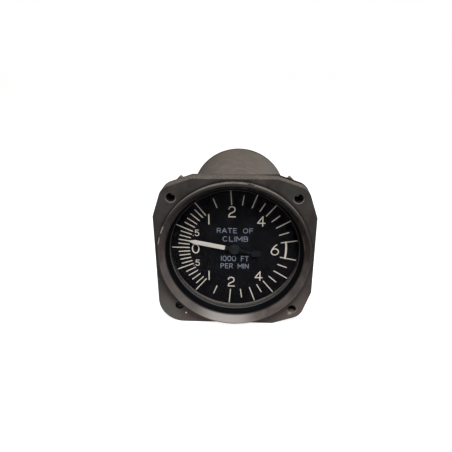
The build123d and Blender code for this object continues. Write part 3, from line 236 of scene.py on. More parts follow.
class Tree:
    """The node tree of a material or world, with short calls for the nodes that the finishes share."""

    def __init__(self, owner, output):
        self.owner = owner
        owner.use_nodes = True
        self.tree = owner.node_tree
        self.tree.nodes.clear()
        self.output = self.node(output)

    def node(self, kind, inputs=None, **settings):
        made = self.tree.nodes.new("ShaderNode" + kind)
        for key, value in settings.items():
            setattr(made, key, value)
        for key, value in (inputs or {}).items():
            self.feed(made.inputs[key], value)
        return made

    def feed(self, socket, value):
        if isinstance(value, bpy.types.NodeSocket):
            self.tree.links.new(value, socket)
        elif hasattr(value, "__len__") and len(value) == 3 and socket.type == "RGBA":
            socket.default_value = (*value, 1.0)
        else:
            socket.default_value = value

    def math(self, operation, first, second=0.0):
        return self.node("Math", {0: first, 1: second}, operation=operation).outputs[0]

    def times(self, *factors):
        """Product of all the factors."""
        product = factors[0]
        for factor in factors[1:]:
            product = self.math("MULTIPLY", product, factor)
        return product

    def place(self):
        """Place on the object in millimetres."""
        coordinates = self.node("TexCoord").outputs["Object"]
        return self.node("VectorMath", {0: coordinates, 3: 1 / MM}, operation="SCALE").outputs[0]

    def parts(self, vector):
        return self.node("SeparateXYZ", {0: vector}).outputs

    def vector(self, x, y, z):
        return self.node("CombineXYZ", {0: x, 1: y, 2: z}).outputs[0]

    def length(self, vector):
        return self.node("VectorMath", {0: vector}, operation="LENGTH").outputs[1]

    def distance(self, x, z, centre=(0.0, 0.0)):
        """Distance from an axis along the instrument at centre (x, z)."""
        return self.length(self.vector(
            self.math("SUBTRACT", x, centre[0]), 0.0, self.math("SUBTRACT", z, centre[1])
        ))

    def noise(self, vector, scale, detail=3.0, roughness=0.55):
        inputs = {"Vector": vector, "Scale": scale, "Detail": detail, "Roughness": roughness}
        return self.node("TexNoise", inputs).outputs[0]

    def ramp(self, value, low, high):
        """0 at low, 1 at high, smooth between them and flat beyond; low may be the larger."""
        inputs = {"Value": value, "From Min": low, "From Max": high}
        return self.node("MapRange", inputs, interpolation_type="SMOOTHSTEP").outputs[0]

    def band(self, value, middle, half, soft):
        """1 within half of the middle, falling to 0 over soft."""
        away = self.math("ABSOLUTE", self.math("SUBTRACT", value, middle))
        return self.ramp(away, half + soft, half)

    def mix(self, factor, first, second):
        """Colour between first and second."""
        return self.node("Mix", {0: factor, 6: first, 7: second}, data_type="RGBA").outputs[2]

    def over(self, colour, top, *factors):
        """A colour laid over another, as far as the product of the factors."""
        return self.mix(self.times(*factors), colour, top)

    def blend(self, factor, first, second):
        """Number between first and second."""
        return self.node("Mix", {0: factor, 2: first, 3: second}, data_type="FLOAT").outputs[0]

    def upward(self, low, high):
        """1 where the object's surface faces up, by the height of its own normal."""
        return self.ramp(self.parts(self.node("TexCoord").outputs["Normal"])[2], low, high)

    def rounded(self, radius):
        """Normal of the surface as if its edges were rounded."""
        return self.node("Bevel", {"Radius": radius * MM}, samples=8).outputs[0]

    def edges(self, radius, low, high):
        """Mask of convex and concave edges, from how far a rounded normal leaves the true one."""
        true = self.node("NewGeometry").outputs["Normal"]
        same = self.node("VectorMath", {0: self.rounded(radius), 1: true}, operation="DOT_PRODUCT")
        return self.ramp(self.math("SUBTRACT", 1.0, same.outputs[1]), low, high)

    def bump(self, height, strength, distance, base=None):
        """Normal with bumps of a distance in millimetres, on a base normal where one is given."""
        made = self.node("Bump", {"Height": height, "Strength": strength, "Distance": distance * MM})
        if base is not None:
            self.feed(made.inputs["Normal"], base)
        return made.outputs[0]

    def directly_seen(self):
        """1 for rays that reach the camera straight, by a reflection or through glass."""
        path = self.node("LightPath").outputs
        seen = self.math("MAXIMUM", path["Is Camera Ray"], path["Is Glossy Ray"])
        return self.math("MAXIMUM", seen, path["Is Transmission Ray"])

    def finish(self, colour, roughness, normal, metallic=0.0, specular=0.5):
        return self.show(self.node("BsdfPrincipled", {
            "Base Color": colour, "Roughness": roughness, "Metallic": metallic,
            "Specular IOR Level": specular, "Normal": normal,
        }))

    def show(self, shader):
        """Ends the tree in a shader and gives back what it belongs to."""
        self.tree.links.new(shader.outputs[0], self.output.inputs[0])
        return self.owner


def new_finish(name):
    return Tree(bpy.data.materials.new(name), "OutputMaterial")


# Case

def case_paint():
    """Old dark enamel: mottled and finely brushed, rubbed pale on its edges, darkened in the holes, with
    painted light on upward faces and low down, and painted shade along the rear edge and round the ring.
    """
    t = new_finish("worn_case_enamel")
    place = t.place()
    x, y, z = t.parts(place)
    cloud = t.noise(place, scale=0.1, detail=5.0, roughness=0.6)
    grain = t.noise(place, scale=1.3, detail=3.0, roughness=0.7)
    # The barrel is turned, so its marks run round it
    around = t.vector(t.times(t.math("ARCTAN2", z, x), 3.6), t.times(y, 0.85), 0.0)
    brushed = t.noise(around, scale=1.0, detail=5.0, roughness=0.7)
    on_barrel = t.ramp(y, BARREL_START - 12, BARREL_START)
    colour = t.mix(on_barrel, flange_enamel(t, cloud, x, y, z), barrel_enamel(t, brushed, x))
    texture = t.ramp(t.blend(on_barrel, grain, brushed), 0.36, 0.64)
    # Dust and painted light: faces that look up are painted paler, as if lit from above
    colour = t.over(colour, DUST_AND_TOP_LIGHT, t.upward(0.2, 0.95), t.blend(texture, 0.24, 0.74))
    colour = t.over(colour, SPECKS, t.ramp(grain, 0.64, 0.8), 0.3)
    # Paint rubbed thin on edges that hands reach, and painted shade along the flange's rear edge, darkest
    # at the right
    patchy = t.ramp(t.noise(place, scale=0.4, detail=4.0), 0.42, 0.62)
    colour = t.over(colour, THIN_PAINT, t.edges(0.25, 0.04, 0.3), patchy, 0.3)
    rear_edge_shade = t.times(t.band(y, FLANGE_REAR, 3.8, 0.4), t.ramp(t.distance(x, z), 38.5, 39.5))
    colour = t.over(colour, DIRT_AND_SHADE, rear_edge_shade, t.blend(t.ramp(x, 10.0, 26.0), 0.15, 1.0))
    colour = small_marks(t, worn_holes(t, colour, x, y, z), x, y, z)
    rough = t.blend(t.ramp(cloud, 0.3, 0.7), 0.4, 0.54)
    rough = t.blend(t.upward(0.1, 0.7), rough, 0.88)
    rough = t.blend(rear_edge_shade, rough, 1.0)
    height = t.math("ADD", t.times(grain, 0.5), t.times(brushed, on_barrel))
    return t.finish(colour, rough, t.bump(height, 0.2, 0.1, t.rounded(0.35)), specular=0.05)


def flange_enamel(t, cloud, x, y, z):
    """Mottled enamel that leans to pink and to green, and is painted lighter towards the bottom, as light
    bounced up from the floor.
    """
    colour = t.mix(t.ramp(cloud, 0.35, 0.66), *ENAMEL)
    hue = t.noise(t.vector(x, t.math("ADD", y, 40.0), z), scale=0.05, detail=3.0)
    colour = t.over(colour, PINKISH, t.ramp(hue, 0.5, 0.66), 0.55)
    colour = t.over(colour, GREENISH, t.ramp(hue, 0.48, 0.34), 0.55)
    # Painted light: lighter towards the bottom, as light bounced up from the floor
    colour = t.over(colour, PAINTED_BOUNCE_LIGHT, t.ramp(z, -6.0, -41.0), t.blend(cloud, 0.5, 1.0), 0.9)
    return t.over(colour, CORNER_GREY, t.ramp(t.distance(x, z, GREY_CORNER), 9.0, 4.0), 0.6)


def barrel_enamel(t, brushed, x):
    """Brushed enamel, lighter and greener at the right, darker and browner at the left."""
    colour = t.mix(t.ramp(brushed, 0.36, 0.62), *BARREL_ENAMEL)
    colour = t.over(colour, BARREL_GREEN, t.ramp(x, 4.0, 26.0), 0.75)
    return t.over(colour, BARREL_BROWN, t.ramp(x, -2.0, -26.0), 0.9)


def on_front(t, y):
    """1 on the flange's front face, 0 behind it."""
    return t.ramp(y, 0.9, 0.5)


def worn_holes(t, colour, x, y, z):
    """Walls of the holes darkened, and on their lips bare metal with a painted highlight, mostly at the
    lower side.
    """
    for centre in HOLES:
        away = t.distance(x, z, centre)
        colour = t.over(colour, DIRT_AND_SHADE, t.ramp(away, HOLE_RADIUS + 0.3, HOLE_RADIUS + 0.2))
        below = t.ramp(t.math("SUBTRACT", z, centre[1]), 0.6, -2.2)
        share = t.math("ADD", t.times(below, 0.72), 0.03)
        # Bare metal and a painted highlight on each lip, mostly at the lower side where it faces up
        lip = t.band(away, HOLE_RADIUS + 0.55, 0.1, 0.3)
        colour = t.over(colour, LIP_METAL_AND_HIGHLIGHT, lip, share, on_front(t, y))
    # The lower right hole is rubbed to bare metal below its lip and along the foot of its wall, and both
    # are painted brighter as a painted highlight where light falls on them
    away = t.distance(x, z, LOWER_HOLE)
    wall = t.ramp(away, HOLE_RADIUS + 0.3, HOLE_RADIUS + 0.2)
    foot = t.times(t.ramp(z, LOWER_HOLE[1] - 0.97, LOWER_HOLE[1] - 1.87), t.ramp(y, 5.2, 2.4))
    colour = t.over(colour, WALL_METAL_AND_LIGHT, wall, foot, 0.75)
    patch = t.ramp(t.distance(x, z, RUBBED_LIT_PATCH), 1.6, 0.4)
    face = t.ramp(away, HOLE_RADIUS + 0.2, HOLE_RADIUS + 0.3)
    return t.over(colour, PATCH_METAL_AND_HIGHLIGHT, patch, face, 0.7)


def small_marks(t, colour, x, y, z):
    """A painted glint and a nick at the lower left, the adjuster's recess darkened, and painted shadow of
    the ring on the flange.
    """
    # Painted glint: a small white dot on the front
    dot = t.ramp(t.distance(x, z, GLINT_SPOT), 0.55, 0.3)
    colour = t.over(colour, GLINT_WHITE, dot, on_front(t, y))
    colour = t.over(colour, NICK_METAL, t.ramp(t.distance(x, z, NICK), 0.7, 0.4), 0.6)
    colour = t.over(colour, DIRT_AND_SHADE, t.ramp(t.distance(x, z, ZERO_PLACE), 2.4, 2.25))
    # Painted shadow of the ring on the flange's front, round the ring's foot
    ring_shadow = t.band(t.distance(x, z), RING_RADIUS + 0.35, 0.3, 0.9)
    return t.over(colour, DIRT_AND_SHADE, ring_shadow, on_front(t, y), 0.5)


# Bezel, mask and glass

def bezel_paint():
    """Enamel on the turned ring: fine lathe lines, rim worn to bright metal at the top and left, with
    painted shade at the top and painted light low down.
    """
    t = new_finish("worn_bezel_enamel")
    place = t.place()
    x, y, z = t.parts(place)
    radius = t.distance(x, z)
    angle = t.math("DEGREES", t.math("ARCTAN2", z, x))
    profile = t.math("ADD", t.times(radius, 1.6), t.times(y, 0.9))
    along = t.vector(t.times(x, 0.05), profile, t.times(z, 0.05))
    lines = t.noise(along, scale=2.0, detail=5.0, roughness=0.7)
    cloud = t.noise(place, scale=0.13, detail=4.0, roughness=0.6)
    colour = t.mix(t.ramp(cloud, 0.35, 0.68), *BEZEL_ENAMEL)
    colour = t.over(colour, LATHE_LIGHT, t.ramp(lines, 0.5, 0.75), 0.4)
    # Painted shade: the bevel darkens towards the top, and the rim's round edge is darker than the bevel
    high = t.times(t.ramp(t.math("ADD", z, t.times(x, 0.25)), -6.0, 30.0), 0.92)
    colour = t.mix(high, colour, SHADED)
    # Painted light at the lower left, and a painted highlight along the bevel at the bottom
    colour = t.over(colour, LOW_LEFT_PAINTED_LIGHT, t.band(angle, -135.0, 25.0, 35.0), 0.3)
    colour = t.over(colour, BOTTOM_PAINTED_HIGHLIGHT, t.band(angle, -97.0, 9.0, 22.0), 0.75)
    # Painted shade on the rim's round edge, all round but the very bottom
    fillet_shade = t.band(radius, RING_RADIUS - 0.55, 0.3, 0.15)
    colour = t.over(colour, SHADED, fillet_shade, t.ramp(z, -39.0, -34.0))
    colour = worn_rim(t, colour, place, radius, y, angle)
    colour = rim_flake(t, colour, x, y, z)
    colour = window_edge(t, colour, radius, angle)
    rough = t.blend(high, t.blend(cloud, 0.36, 0.46), 0.33)
    rough = t.blend(t.ramp(radius, RING_RADIUS - 1.15, RING_RADIUS - 0.85), rough, 0.95)
    return t.finish(colour, rough, t.bump(lines, 0.16, 0.06, t.rounded(0.25)), specular=0.3)


def worn_rim(t, colour, place, radius, y, angle):
    """Bare metal from the upper left over the top to the upper right, and in two bits at the left."""
    across = t.ramp(radius, RING_RADIUS - 0.5, RING_RADIUS - 0.32)
    fore = t.ramp(y, RING_FRONT + 0.4, RING_FRONT + 0.9)
    broken = t.ramp(t.noise(place, scale=0.33, detail=4.0, roughness=0.65), 0.3, 0.55)
    over_top = t.times(t.ramp(angle, 14.0, 34.0), t.ramp(angle, 158.0, 138.0))
    colour = t.over(colour, BARE_METAL, across, fore, t.blend(broken, 0.45, 1.0), over_top)
    bits = t.math("MAXIMUM", t.band(angle, 156.8, 2.2, 1.5), t.band(angle, 166.0, 2.0, 1.5))
    return t.over(colour, WORN_BRIGHT, bits, t.ramp(radius, RING_RADIUS - 0.75, RING_RADIUS - 0.6))


def rim_flake(t, colour, x, y, z):
    """A flake of missing paint and a short scratch on the rim, right of the top."""
    at_top = t.ramp(z, 30.0, 32.0)
    from_x = t.times(t.math("SUBTRACT", x, FLAKE_X), 0.5)
    from_y = t.times(t.math("SUBTRACT", y, FLAKE_Y), 0.65)
    flake = t.ramp(t.length(t.vector(from_x, from_y, 0.0)), 1.0, 0.8)
    colour = t.over(colour, DIRT_AND_SHADE, flake, at_top)
    scratch = t.times(t.band(x, FLAKE_X + 0.6, 0.12, 0.1), t.ramp(y, FLAKE_Y + 0.3, FLAKE_Y + 0.5))
    return t.over(colour, WORN_BRIGHT, scratch, at_top)


def window_edge(t, colour, radius, angle):
    """Darker where the bevel meets the mask, and at the right a streak there of bare brass with a painted
    warm highlight.
    """
    colour = t.over(colour, DIRT_AND_SHADE, t.ramp(radius, WINDOW_RADIUS + 0.5, WINDOW_RADIUS + 0.25), 0.9)
    # Bare brass and a painted warm highlight along the bevel's inner edge at the right
    streak = t.times(t.band(radius, WINDOW_RADIUS + 0.45, 0.14, 0.12), t.band(angle, 12.5, 5.0, 4.0))
    return t.over(colour, BRASS_STREAK_AND_HIGHLIGHT, streak, 0.65)


def mask_paint():
    """Dead black mask, with a painted grey highlight along its inner lip."""
    t = new_finish("mask_black")
    place = t.place()
    x, _, z = t.parts(place)
    speck = t.noise(place, scale=1.2, detail=3.0)
    colour = t.mix(t.ramp(speck, 0.4, 0.7), *MASK_BLACK)
    # Painted highlight: a thin grey line along the inner lip
    lip = t.ramp(t.distance(x, z), MASK_INNER + 0.32, MASK_INNER + 0.18)
    colour = t.over(colour, MASK_LIP_HIGHLIGHT, lip, 0.8)
    return t.finish(colour, 0.7, t.bump(speck, 0.2, 0.05), specular=0.02)


def window_glass():
    """Clear glass that only shines when seen aslant; lamps shine through it."""
    t = new_finish("window_glass")
    haze = t.noise(t.place(), scale=0.08, detail=3.0)
    aslant = t.ramp(t.node("LayerWeight").outputs["Facing"], 0.25, 0.6)
    glass = t.node("BsdfPrincipled", {
        "Base Color": t.mix(haze, *GLASS_TINT), "Roughness": 0.0, "Transmission Weight": 1.0,
        "IOR": 1.0, "Coat Weight": aslant, "Coat Roughness": 0.02,
    })
    clear = t.node("BsdfTransparent", {0: GLASS_SHADOW})
    path = t.node("LightPath").outputs
    passing = t.math("MAXIMUM", path["Is Shadow Ray"], path["Is Diffuse Ray"])
    passing = t.math("MAXIMUM", passing, path["Is Glossy Ray"])
    return t.show(t.node("MixShader", {0: passing, 1: glass.outputs[0], 2: clear.outputs[0]}))


# Dial, pointer, seals and metals

def dial_paint():
    """Matt black dial lacquer with a faint blue cast and fine dust."""
    t = new_finish("dial_black")
    cloud = t.noise(t.place(), scale=0.12, detail=4.0)
    colour = t.mix(t.ramp(cloud, 0.35, 0.7), *DIAL_LACQUER)
    return t.finish(colour, 0.7, t.bump(cloud, 0.1, 0.05), specular=0.02)


def mark_paint(name, tones):
    """Printed dial paint, a little uneven, and painted darker at the top of the dial as the bezel's
    shadow.
    """
    t = new_finish(name)
    place = t.place()
    patch = t.ramp(t.noise(place, scale=0.6, detail=4.0, roughness=0.65), 0.35, 0.75)
    fine = t.noise(place, scale=5.0, detail=2.0)
    # Painted shadow of the bezel over the top of the dial
    shaded_tone = [part * TOP_SHADE_SHARE for part in tones[1]]
    colour = t.over(t.mix(patch, *tones), shaded_tone, t.ramp(t.parts(place)[2], 17.0, 30.0), 0.55)
    return t.finish(colour, 0.6, t.bump(fine, 0.15, 0.04), specular=0.1)


def pointer_paint():
    """White bar from near the hub to the tip; the rest of the pointer is black."""
    t = new_finish("pointer_paint")
    place = t.place()
    x, _, z = t.parts(place)
    turned = radians(POINTER_ANGLE)
    along = t.math("ADD", t.times(x, cos(turned)), t.times(z, sin(turned)))
    fine = t.noise(place, scale=1.1, detail=5.0, roughness=0.7)
    white = t.mix(t.ramp(fine, 0.35, 0.7), *POINTER_WHITE)
    black = t.mix(fine, *POINTER_BLACK)
    colour = t.mix(t.ramp(along, WHITE_START - 0.06, WHITE_START + 0.06), black, white)
    return t.finish(colour, 0.55, t.bump(fine, 0.2, 0.04, t.rounded(0.12)), specular=0.04)


def hub_paint():
    """Black paint with fine grain."""
    t = new_finish("hub_black")
    fine = t.noise(t.place(), scale=2.2, detail=3.0)
    normal = t.bump(fine, 0.2, 0.04, t.rounded(0.12))
    return t.finish(t.mix(fine, *HUB_BLACK), 0.5, normal, specular=0.06)


def rubber():
    """Dull black rubber with a dusty grain."""
    t = new_finish("seal_rubber")
    fine = t.noise(t.place(), scale=3.5, detail=3.0)
    return t.finish(t.mix(fine, *RUBBER), 0.75, t.bump(fine, 0.4, 0.06))


def metal(name, tones, rough, spots=0.4, darkened_in_holes=False):
    """Machined metal: fine turned or drawn lines, patches of tarnish and softened edges."""
    t = new_finish(name)
    place = t.place()
    x, y, z = t.parts(place)
    bright, dull = tones
    drawn = t.vector(t.times(x, 2.6), t.times(y, 0.25), t.times(z, 2.6))
    lines = t.noise(drawn, scale=1.6, detail=4.0, roughness=0.7)
    tarnish = t.ramp(t.noise(place, scale=0.35, detail=5.0, roughness=0.62), 0.42, 0.72)
    colour = t.over(bright, dull, tarnish, spots)
    colour = t.over(colour, dull, t.ramp(lines, 0.4, 0.8), 0.3)
    if darkened_in_holes:
        # Darker where it shows down the two upper holes
        for centre in HOLES[:2]:
            inside = t.ramp(t.distance(x, z, centre), HOLE_RADIUS + 0.5, HOLE_RADIUS + 0.3)
            colour = t.over(colour, DIRT_AND_SHADE, inside, 0.95)
    uneven = t.blend(tarnish, rough, rough + 0.18)
    return t.finish(colour, uneven, t.bump(lines, 0.18, 0.05, t.rounded(0.15)), metallic=1.0)


FINISHES = {
    "case_paint": case_paint(),
    "bezel_paint": bezel_paint(),
    "mask_black": mask_paint(),
    "window_glass": window_glass(),
    "seal_rubber": rubber(),
    "dial_black": dial_paint(),
    "pointer_white": pointer_paint(),
    "hub_black": hub_paint(),
    "mark_cream": mark_paint("mark_cream", MARK_CREAM),
    "mark_blue_grey": mark_paint("mark_blue_grey", MARK_BLUE_GREY),
    "movement_brass": metal("movement_brass", MOVEMENT_BRASS, 0.28),
    "steel": metal("bright_steel", BRIGHT_STEEL, 0.3),
    "aged_steel": metal("aged_steel", AGED_STEEL, 0.4, spots=0.7),
    "dark_steel": metal("dark_steel", DARK_STEEL, 0.6, spots=0.8),
    "plate_aluminium": metal("plate_aluminium", ALUMINIUM, 0.34, spots=0.25),
    "capsule_bronze": metal("capsule_bronze", BRONZE, 0.3),
    "nut_brass": metal("nut_brass", NUT_BRASS, 0.45, spots=0.8, darkened_in_holes=True),
    "tube_copper": metal("tube_copper", COPPER, 0.3),
}


def dress_nodes():
    """Each CAD node gets the finish of its material slot."""
    for row in frame["record"]["subparts"]:
        finish = "dark_steel" if row["node"] in DARKENED else row["material_slot"]
        for slot in frame["nodes"][row["node"]].material_slots:
            slot.material = FINISHES[finish]


# Mesh helpers

def write_mesh(mesh, name, finish):
    """Object from a bmesh in millimetres, riding on the case."""
    bmesh.ops.scale(mesh, vec=(MM, MM, MM), verts=mesh.verts)
    bmesh.ops.recalc_face_normals(mesh, faces=mesh.faces)
    data = bpy.data.meshes.new(name)
    mesh.to_mesh(data)
    mesh.free()
    data.materials.append(FINISHES[finish])
    piece = bpy.data.objects.new(name, data)
    bpy.context.scene.collection.objects.link(piece)
    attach(piece, "case")
    return piece


def polar(radius, angle):
    return (radius * cos(radians(angle)), radius * sin(radians(angle)))


def skin(mesh, rims):
    """Closed solid through rings of vertices, all with the same number."""
    mesh.faces.new(rims[0])
    mesh.faces.new(rims[-1][::-1])
    count = len(rims[0])
    for first, second in zip(rims, rims[1:]):
        for index in range(count):
            after = (index + 1) % count
            mesh.faces.new((first[index], second[index], second[after], first[after]))


def stacked(mesh, layers):
    """Solid through outlines of (x, z) points, each at its own depth."""
    skin(mesh, [[mesh.verts.new((x, depth, z)) for x, z in outline] for outline, depth in layers])


def prism(mesh, outline, front, rear):
    """Straight solid between two depths from a closed outline."""
    stacked(mesh, [(outline, front), (outline, rear)])


def heading(first, second):
    return atan2(second[1] - first[1], second[0] - first[0])


def stroke_sides(points, half, closed):
    """Points half a width to the left and to the right of a line."""
    count = len(points)
    left, right = [], []
    for index, (x, z) in enumerate(points):
        before = points[index - 1] if index or closed else None
        after = points[(index + 1) % count] if index < count - 1 or closed else None
        if before is None:
            along = heading((x, z), after)
        elif after is None:
            along = heading(before, (x, z))
        else:
            first, second = heading(before, (x, z)), heading((x, z), after)
            along = atan2(sin(first) + sin(second), cos(first) + cos(second))
        left.append((x - half * sin(along), z + half * cos(along)))
        right.append((x + half * sin(along), z - half * cos(along)))
    return left, right


def round_end(end, before, half):
    """Half circle about the end of a stroke, given the point before it."""
    towards = heading(before, end)
    steps = [-pi / 2 + pi * (step + 1) / (CAP_STEPS + 1) for step in range(CAP_STEPS)]
    return [(end[0] + half * cos(towards + a), end[1] + half * sin(towards + a)) for a in steps]


def loop_band(mesh, left, right, front, rear):
    """Flat ring between the two sides of a closed stroke."""
    corners = [
        [mesh.verts.new((x, depth, z)) for x, z in side]
        for side, depth in ((left, front), (right, front), (right, rear), (left, rear))
    ]
    for first, second in zip(corners, corners[1:] + corners[:1]):
        for index in range(len(left)):
            after = (index + 1) % len(left)
            mesh.faces.new((first[index], first[after], second[after], second[index]))


def ribbon(mesh, points, width, height, closed=False):
    """Painted stroke of even width with round ends, standing height proud of the dial."""
    half = width / 2
    left, right = stroke_sides(points, half, closed)
    front, rear = DIAL_FRONT - height, DIAL_FRONT
    if closed:
        loop_band(mesh, left, right, front, rear)
        return
    start_cap = round_end(points[0], points[1], half)
    end_cap = round_end(points[-1], points[-2], half)
    prism(mesh, left[::-1] + start_cap + right + end_cap, front, rear)


# Letters and numerals

def curve_through(points, steps=6):
    """Smooth line through given points, by Catmull and Rom's rule."""
    padded = [points[0], *points, points[-1]]
    smooth = []
    for a, b, c, d in zip(padded, padded[1:], padded[2:], padded[3:]):
        for step in range(steps):
            t = step / steps
            smooth.append(tuple(
                0.5 * (2 * b[k] + (c[k] - a[k]) * t + (2 * a[k] - 5 * b[k] + 4 * c[k] - d[k]) * t * t
                       + (3 * b[k] - a[k] - 3 * c[k] + d[k]) * t ** 3)
                for k in (0, 1)
            ))
    return smooth + [points[-1]]


def oval(cx, cz, rx, rz, start=0, end=360, steps=28):
    """Points of an ellipse, or of part of one, in degrees against the clock."""
    full = abs(end - start) >= 360
    count = steps if full else steps + 1
    angles = [radians(start + (end - start) * index / steps) for index in range(count)]
    return [(cx + rx * cos(a), cz + rz * sin(a)) for a in angles]


# Each glyph is drawn in a box one wide and one high about its middle: open strokes, then closed ones
GLYPHS = {
    "0": ([], [oval(0, 0, 0.5, 0.5)]),
    "1": ([[(0, 0.5), (0, -0.5)]], []),
    "2": ([
        curve_through([
            (-0.47, 0.27), (-0.33, 0.44), (0, 0.5), (0.34, 0.42), (0.46, 0.22), (0.33, 0.03),
            (0, -0.09), (-0.31, -0.2), (-0.46, -0.36), (-0.48, -0.5),
        ]),
        [(-0.48, -0.5), (0.5, -0.5)],
    ], []),
    "4": ([[(0.2, 0.5), (-0.5, -0.2)], [(-0.5, -0.2), (0.5, -0.2)], [(0.2, 0.5), (0.2, -0.5)]], []),
    "5": ([
        [(0.42, 0.5), (-0.36, 0.5)], [(-0.36, 0.5), (-0.42, 0.06)],
        curve_through([
            (-0.42, 0.06), (-0.1, 0.15), (0.28, 0.08), (0.47, -0.16), (0.3, -0.42), (-0.02, -0.5),
            (-0.32, -0.46), (-0.5, -0.34),
        ]),
    ], []),
    "6": (
        [curve_through([(0.22, 0.5), (-0.12, 0.29), (-0.38, 0.02), (-0.5, -0.2)])],
        [oval(0, -0.2, 0.5, 0.3)],
    ),
    "A": ([[(0, 0.5), (-0.5, -0.5)], [(0, 0.5), (0.5, -0.5)], [(-0.33, -0.16), (0.33, -0.16)]], []),
    "B": ([
        [(-0.45, 0.5), (-0.45, -0.5)],
        [(-0.45, 0.5), *oval(0.12, 0.26, 0.3, 0.24, 90, -90, 10), (-0.45, 0.02)],
        [(-0.45, 0.02), *oval(0.15, -0.24, 0.33, 0.26, 90, -90, 10), (-0.45, -0.5)],
    ], []),
    "C": ([oval(0, 0, 0.5, 0.5, 48, 312, 20)], []),
    "E": ([
        [(-0.42, 0.5), (-0.42, -0.5)], [(-0.42, 0.5), (0.46, 0.5)],
        [(-0.42, 0.02), (0.34, 0.02)], [(-0.42, -0.5), (0.46, -0.5)],
    ], []),
    "F": ([[(-0.42, 0.5), (-0.42, -0.5)], [(-0.42, 0.5), (0.46, 0.5)], [(-0.42, 0.02), (0.34, 0.02)]], []),
    "I": ([[(0, 0.5), (0, -0.5)]], []),
    "L": ([[(-0.42, 0.5), (-0.42, -0.5)], [(-0.42, -0.5), (0.46, -0.5)]], []),
    "M": ([
        [(-0.5, -0.5), (-0.5, 0.5)], [(-0.5, 0.5), (0, -0.2)], [(0, -0.2), (0.5, 0.5)],
        [(0.5, 0.5), (0.5, -0.5)],
    ], []),
    "N": ([[(-0.46, -0.5), (-0.46, 0.5)], [(-0.46, 0.5), (0.46, -0.5)], [(0.46, -0.5), (0.46, 0.5)]], []),
    "O": ([], [oval(0, 0, 0.5, 0.5)]),
    "P": ([
        [(-0.45, 0.5), (-0.45, -0.5)],
        [(-0.45, 0.5), *oval(0.14, 0.24, 0.34, 0.26, 90, -90, 10), (-0.45, -0.02)],
    ], []),
    "R": ([
        [(-0.45, 0.5), (-0.45, -0.5)],
        [(-0.45, 0.5), *oval(0.14, 0.24, 0.34, 0.26, 90, -90, 10), (-0.45, -0.02)],
        [(0.05, -0.02), (0.48, -0.5)],
    ], []),
    "T": ([[(-0.5, 0.5), (0.5, 0.5)], [(0, 0.5), (0, -0.5)]], []),
    ".": ([[(-0.02, -0.5), (0.02, -0.5)]], []),
}
GLYPH_WIDTHS = {"I": 0.05, "1": 0.14, "M": 0.86, "O": 0.8, "0": 0.74, "C": 0.72, "A": 0.8, "N": 0.74}
PLAIN_WIDTH = 0.64
LETTER_SPACE = 0.27
WORD_SPACE = 0.62


def glyph(mesh, letter, centre, width, height, stroke):
    """One stroke-built letter or numeral. Its strokes lie a hair apart, so that none share a face."""
    lines, loops = GLYPHS[letter]
    inner_width, inner_height = width - stroke, height - stroke
    for index, points in enumerate(lines + loops):
        placed = [(centre[0] + x * inner_width, centre[1] + z * inner_height) for x, z in points]
        ribbon(mesh, placed, stroke, MARK_HEIGHT + index * STEP_APART, closed=index >= len(lines))


def legend_line(mesh, text, centre, height, total):
    """A line of letters spread to its total width about its centre."""
    widths = [WORD_SPACE if c == " " else GLYPH_WIDTHS.get(c, PLAIN_WIDTH) for c in text]
    gaps = LETTER_SPACE * (len(text) - 1)
    unit = (total - LEGEND_STROKE) / (sum(widths) + gaps)
    x = centre[0] - (total - LEGEND_STROKE) / 2
    for letter, width in zip(text, widths):
        if letter != " ":
            middle = (x + width * unit / 2, centre[1])
            glyph(mesh, letter, middle, width * unit + LEGEND_STROKE, height, LEGEND_STROKE)
        x += (width + LETTER_SPACE) * unit


# Pieces

def make_ticks():
    """Scale marks both ways from zero at 9 o'clock, and the arc that joins the two ends."""
    mesh = bmesh.new()
    cap = TICK_WIDTH / 2
    for value, angle in SCALE.items():
        outer = LONG_OUTER if value in LONG_MARKS else SHORT_OUTER
        inner = INNER_FINE if value <= 1.0 else INNER_COARSE
        for side in ((1,) if value == 0 else (-1, 1)):
            at = 180 - side * angle + DIAL_ROLL
            ribbon(mesh, [polar(inner + cap, at), polar(outer - cap, at)], TICK_WIDTH, MARK_HEIGHT)
    reach = 180 - SCALE[6.0]
    angles = [DIAL_ROLL - reach + 2 * reach * i / STOP_ARC_STEPS for i in range(STOP_ARC_STEPS + 1)]
    arc = [polar(STOP_ARC_RADIUS, angle) for angle in angles]
    ribbon(mesh, arc, STOP_ARC_WIDTH, MARK_HEIGHT + STEP_APART)
    write_mesh(mesh, "dial_ticks", "mark_cream")


def make_numerals():
    mesh = bmesh.new()
    for letter, centre, width, height in NUMERALS:
        glyph(mesh, letter, centre, width, height, NUMERAL_STROKE)
    for x, z in HALVES:
        glyph(mesh, "5", (x, z), FIVE_WIDTH, HALF_HEIGHT, HALF_STROKE)
        glyph(mesh, ".", (x - POINT_AWAY, z), POINT_WIDTH, HALF_HEIGHT, HALF_STROKE)
    write_mesh(mesh, "dial_numerals", "mark_cream")


def make_legend():
    mesh = bmesh.new()
    for line in LEGEND:
        legend_line(mesh, *line)
    write_mesh(mesh, "dial_legend", "mark_blue_grey")


def half_head(radius, turn):
    """Half of a screw head's outline on one side of its slot."""
    start = asin(SCREW_SLOT / 2 / radius)
    angles = [start + (pi - 2 * start) * i / HEAD_STEPS + turn for i in range(HEAD_STEPS + 1)]
    return [(radius * cos(angle), radius * sin(angle)) for angle in angles]


def moved(outline, x, z):
    return [(x + point_x, z + point_z) for point_x, point_z in outline]


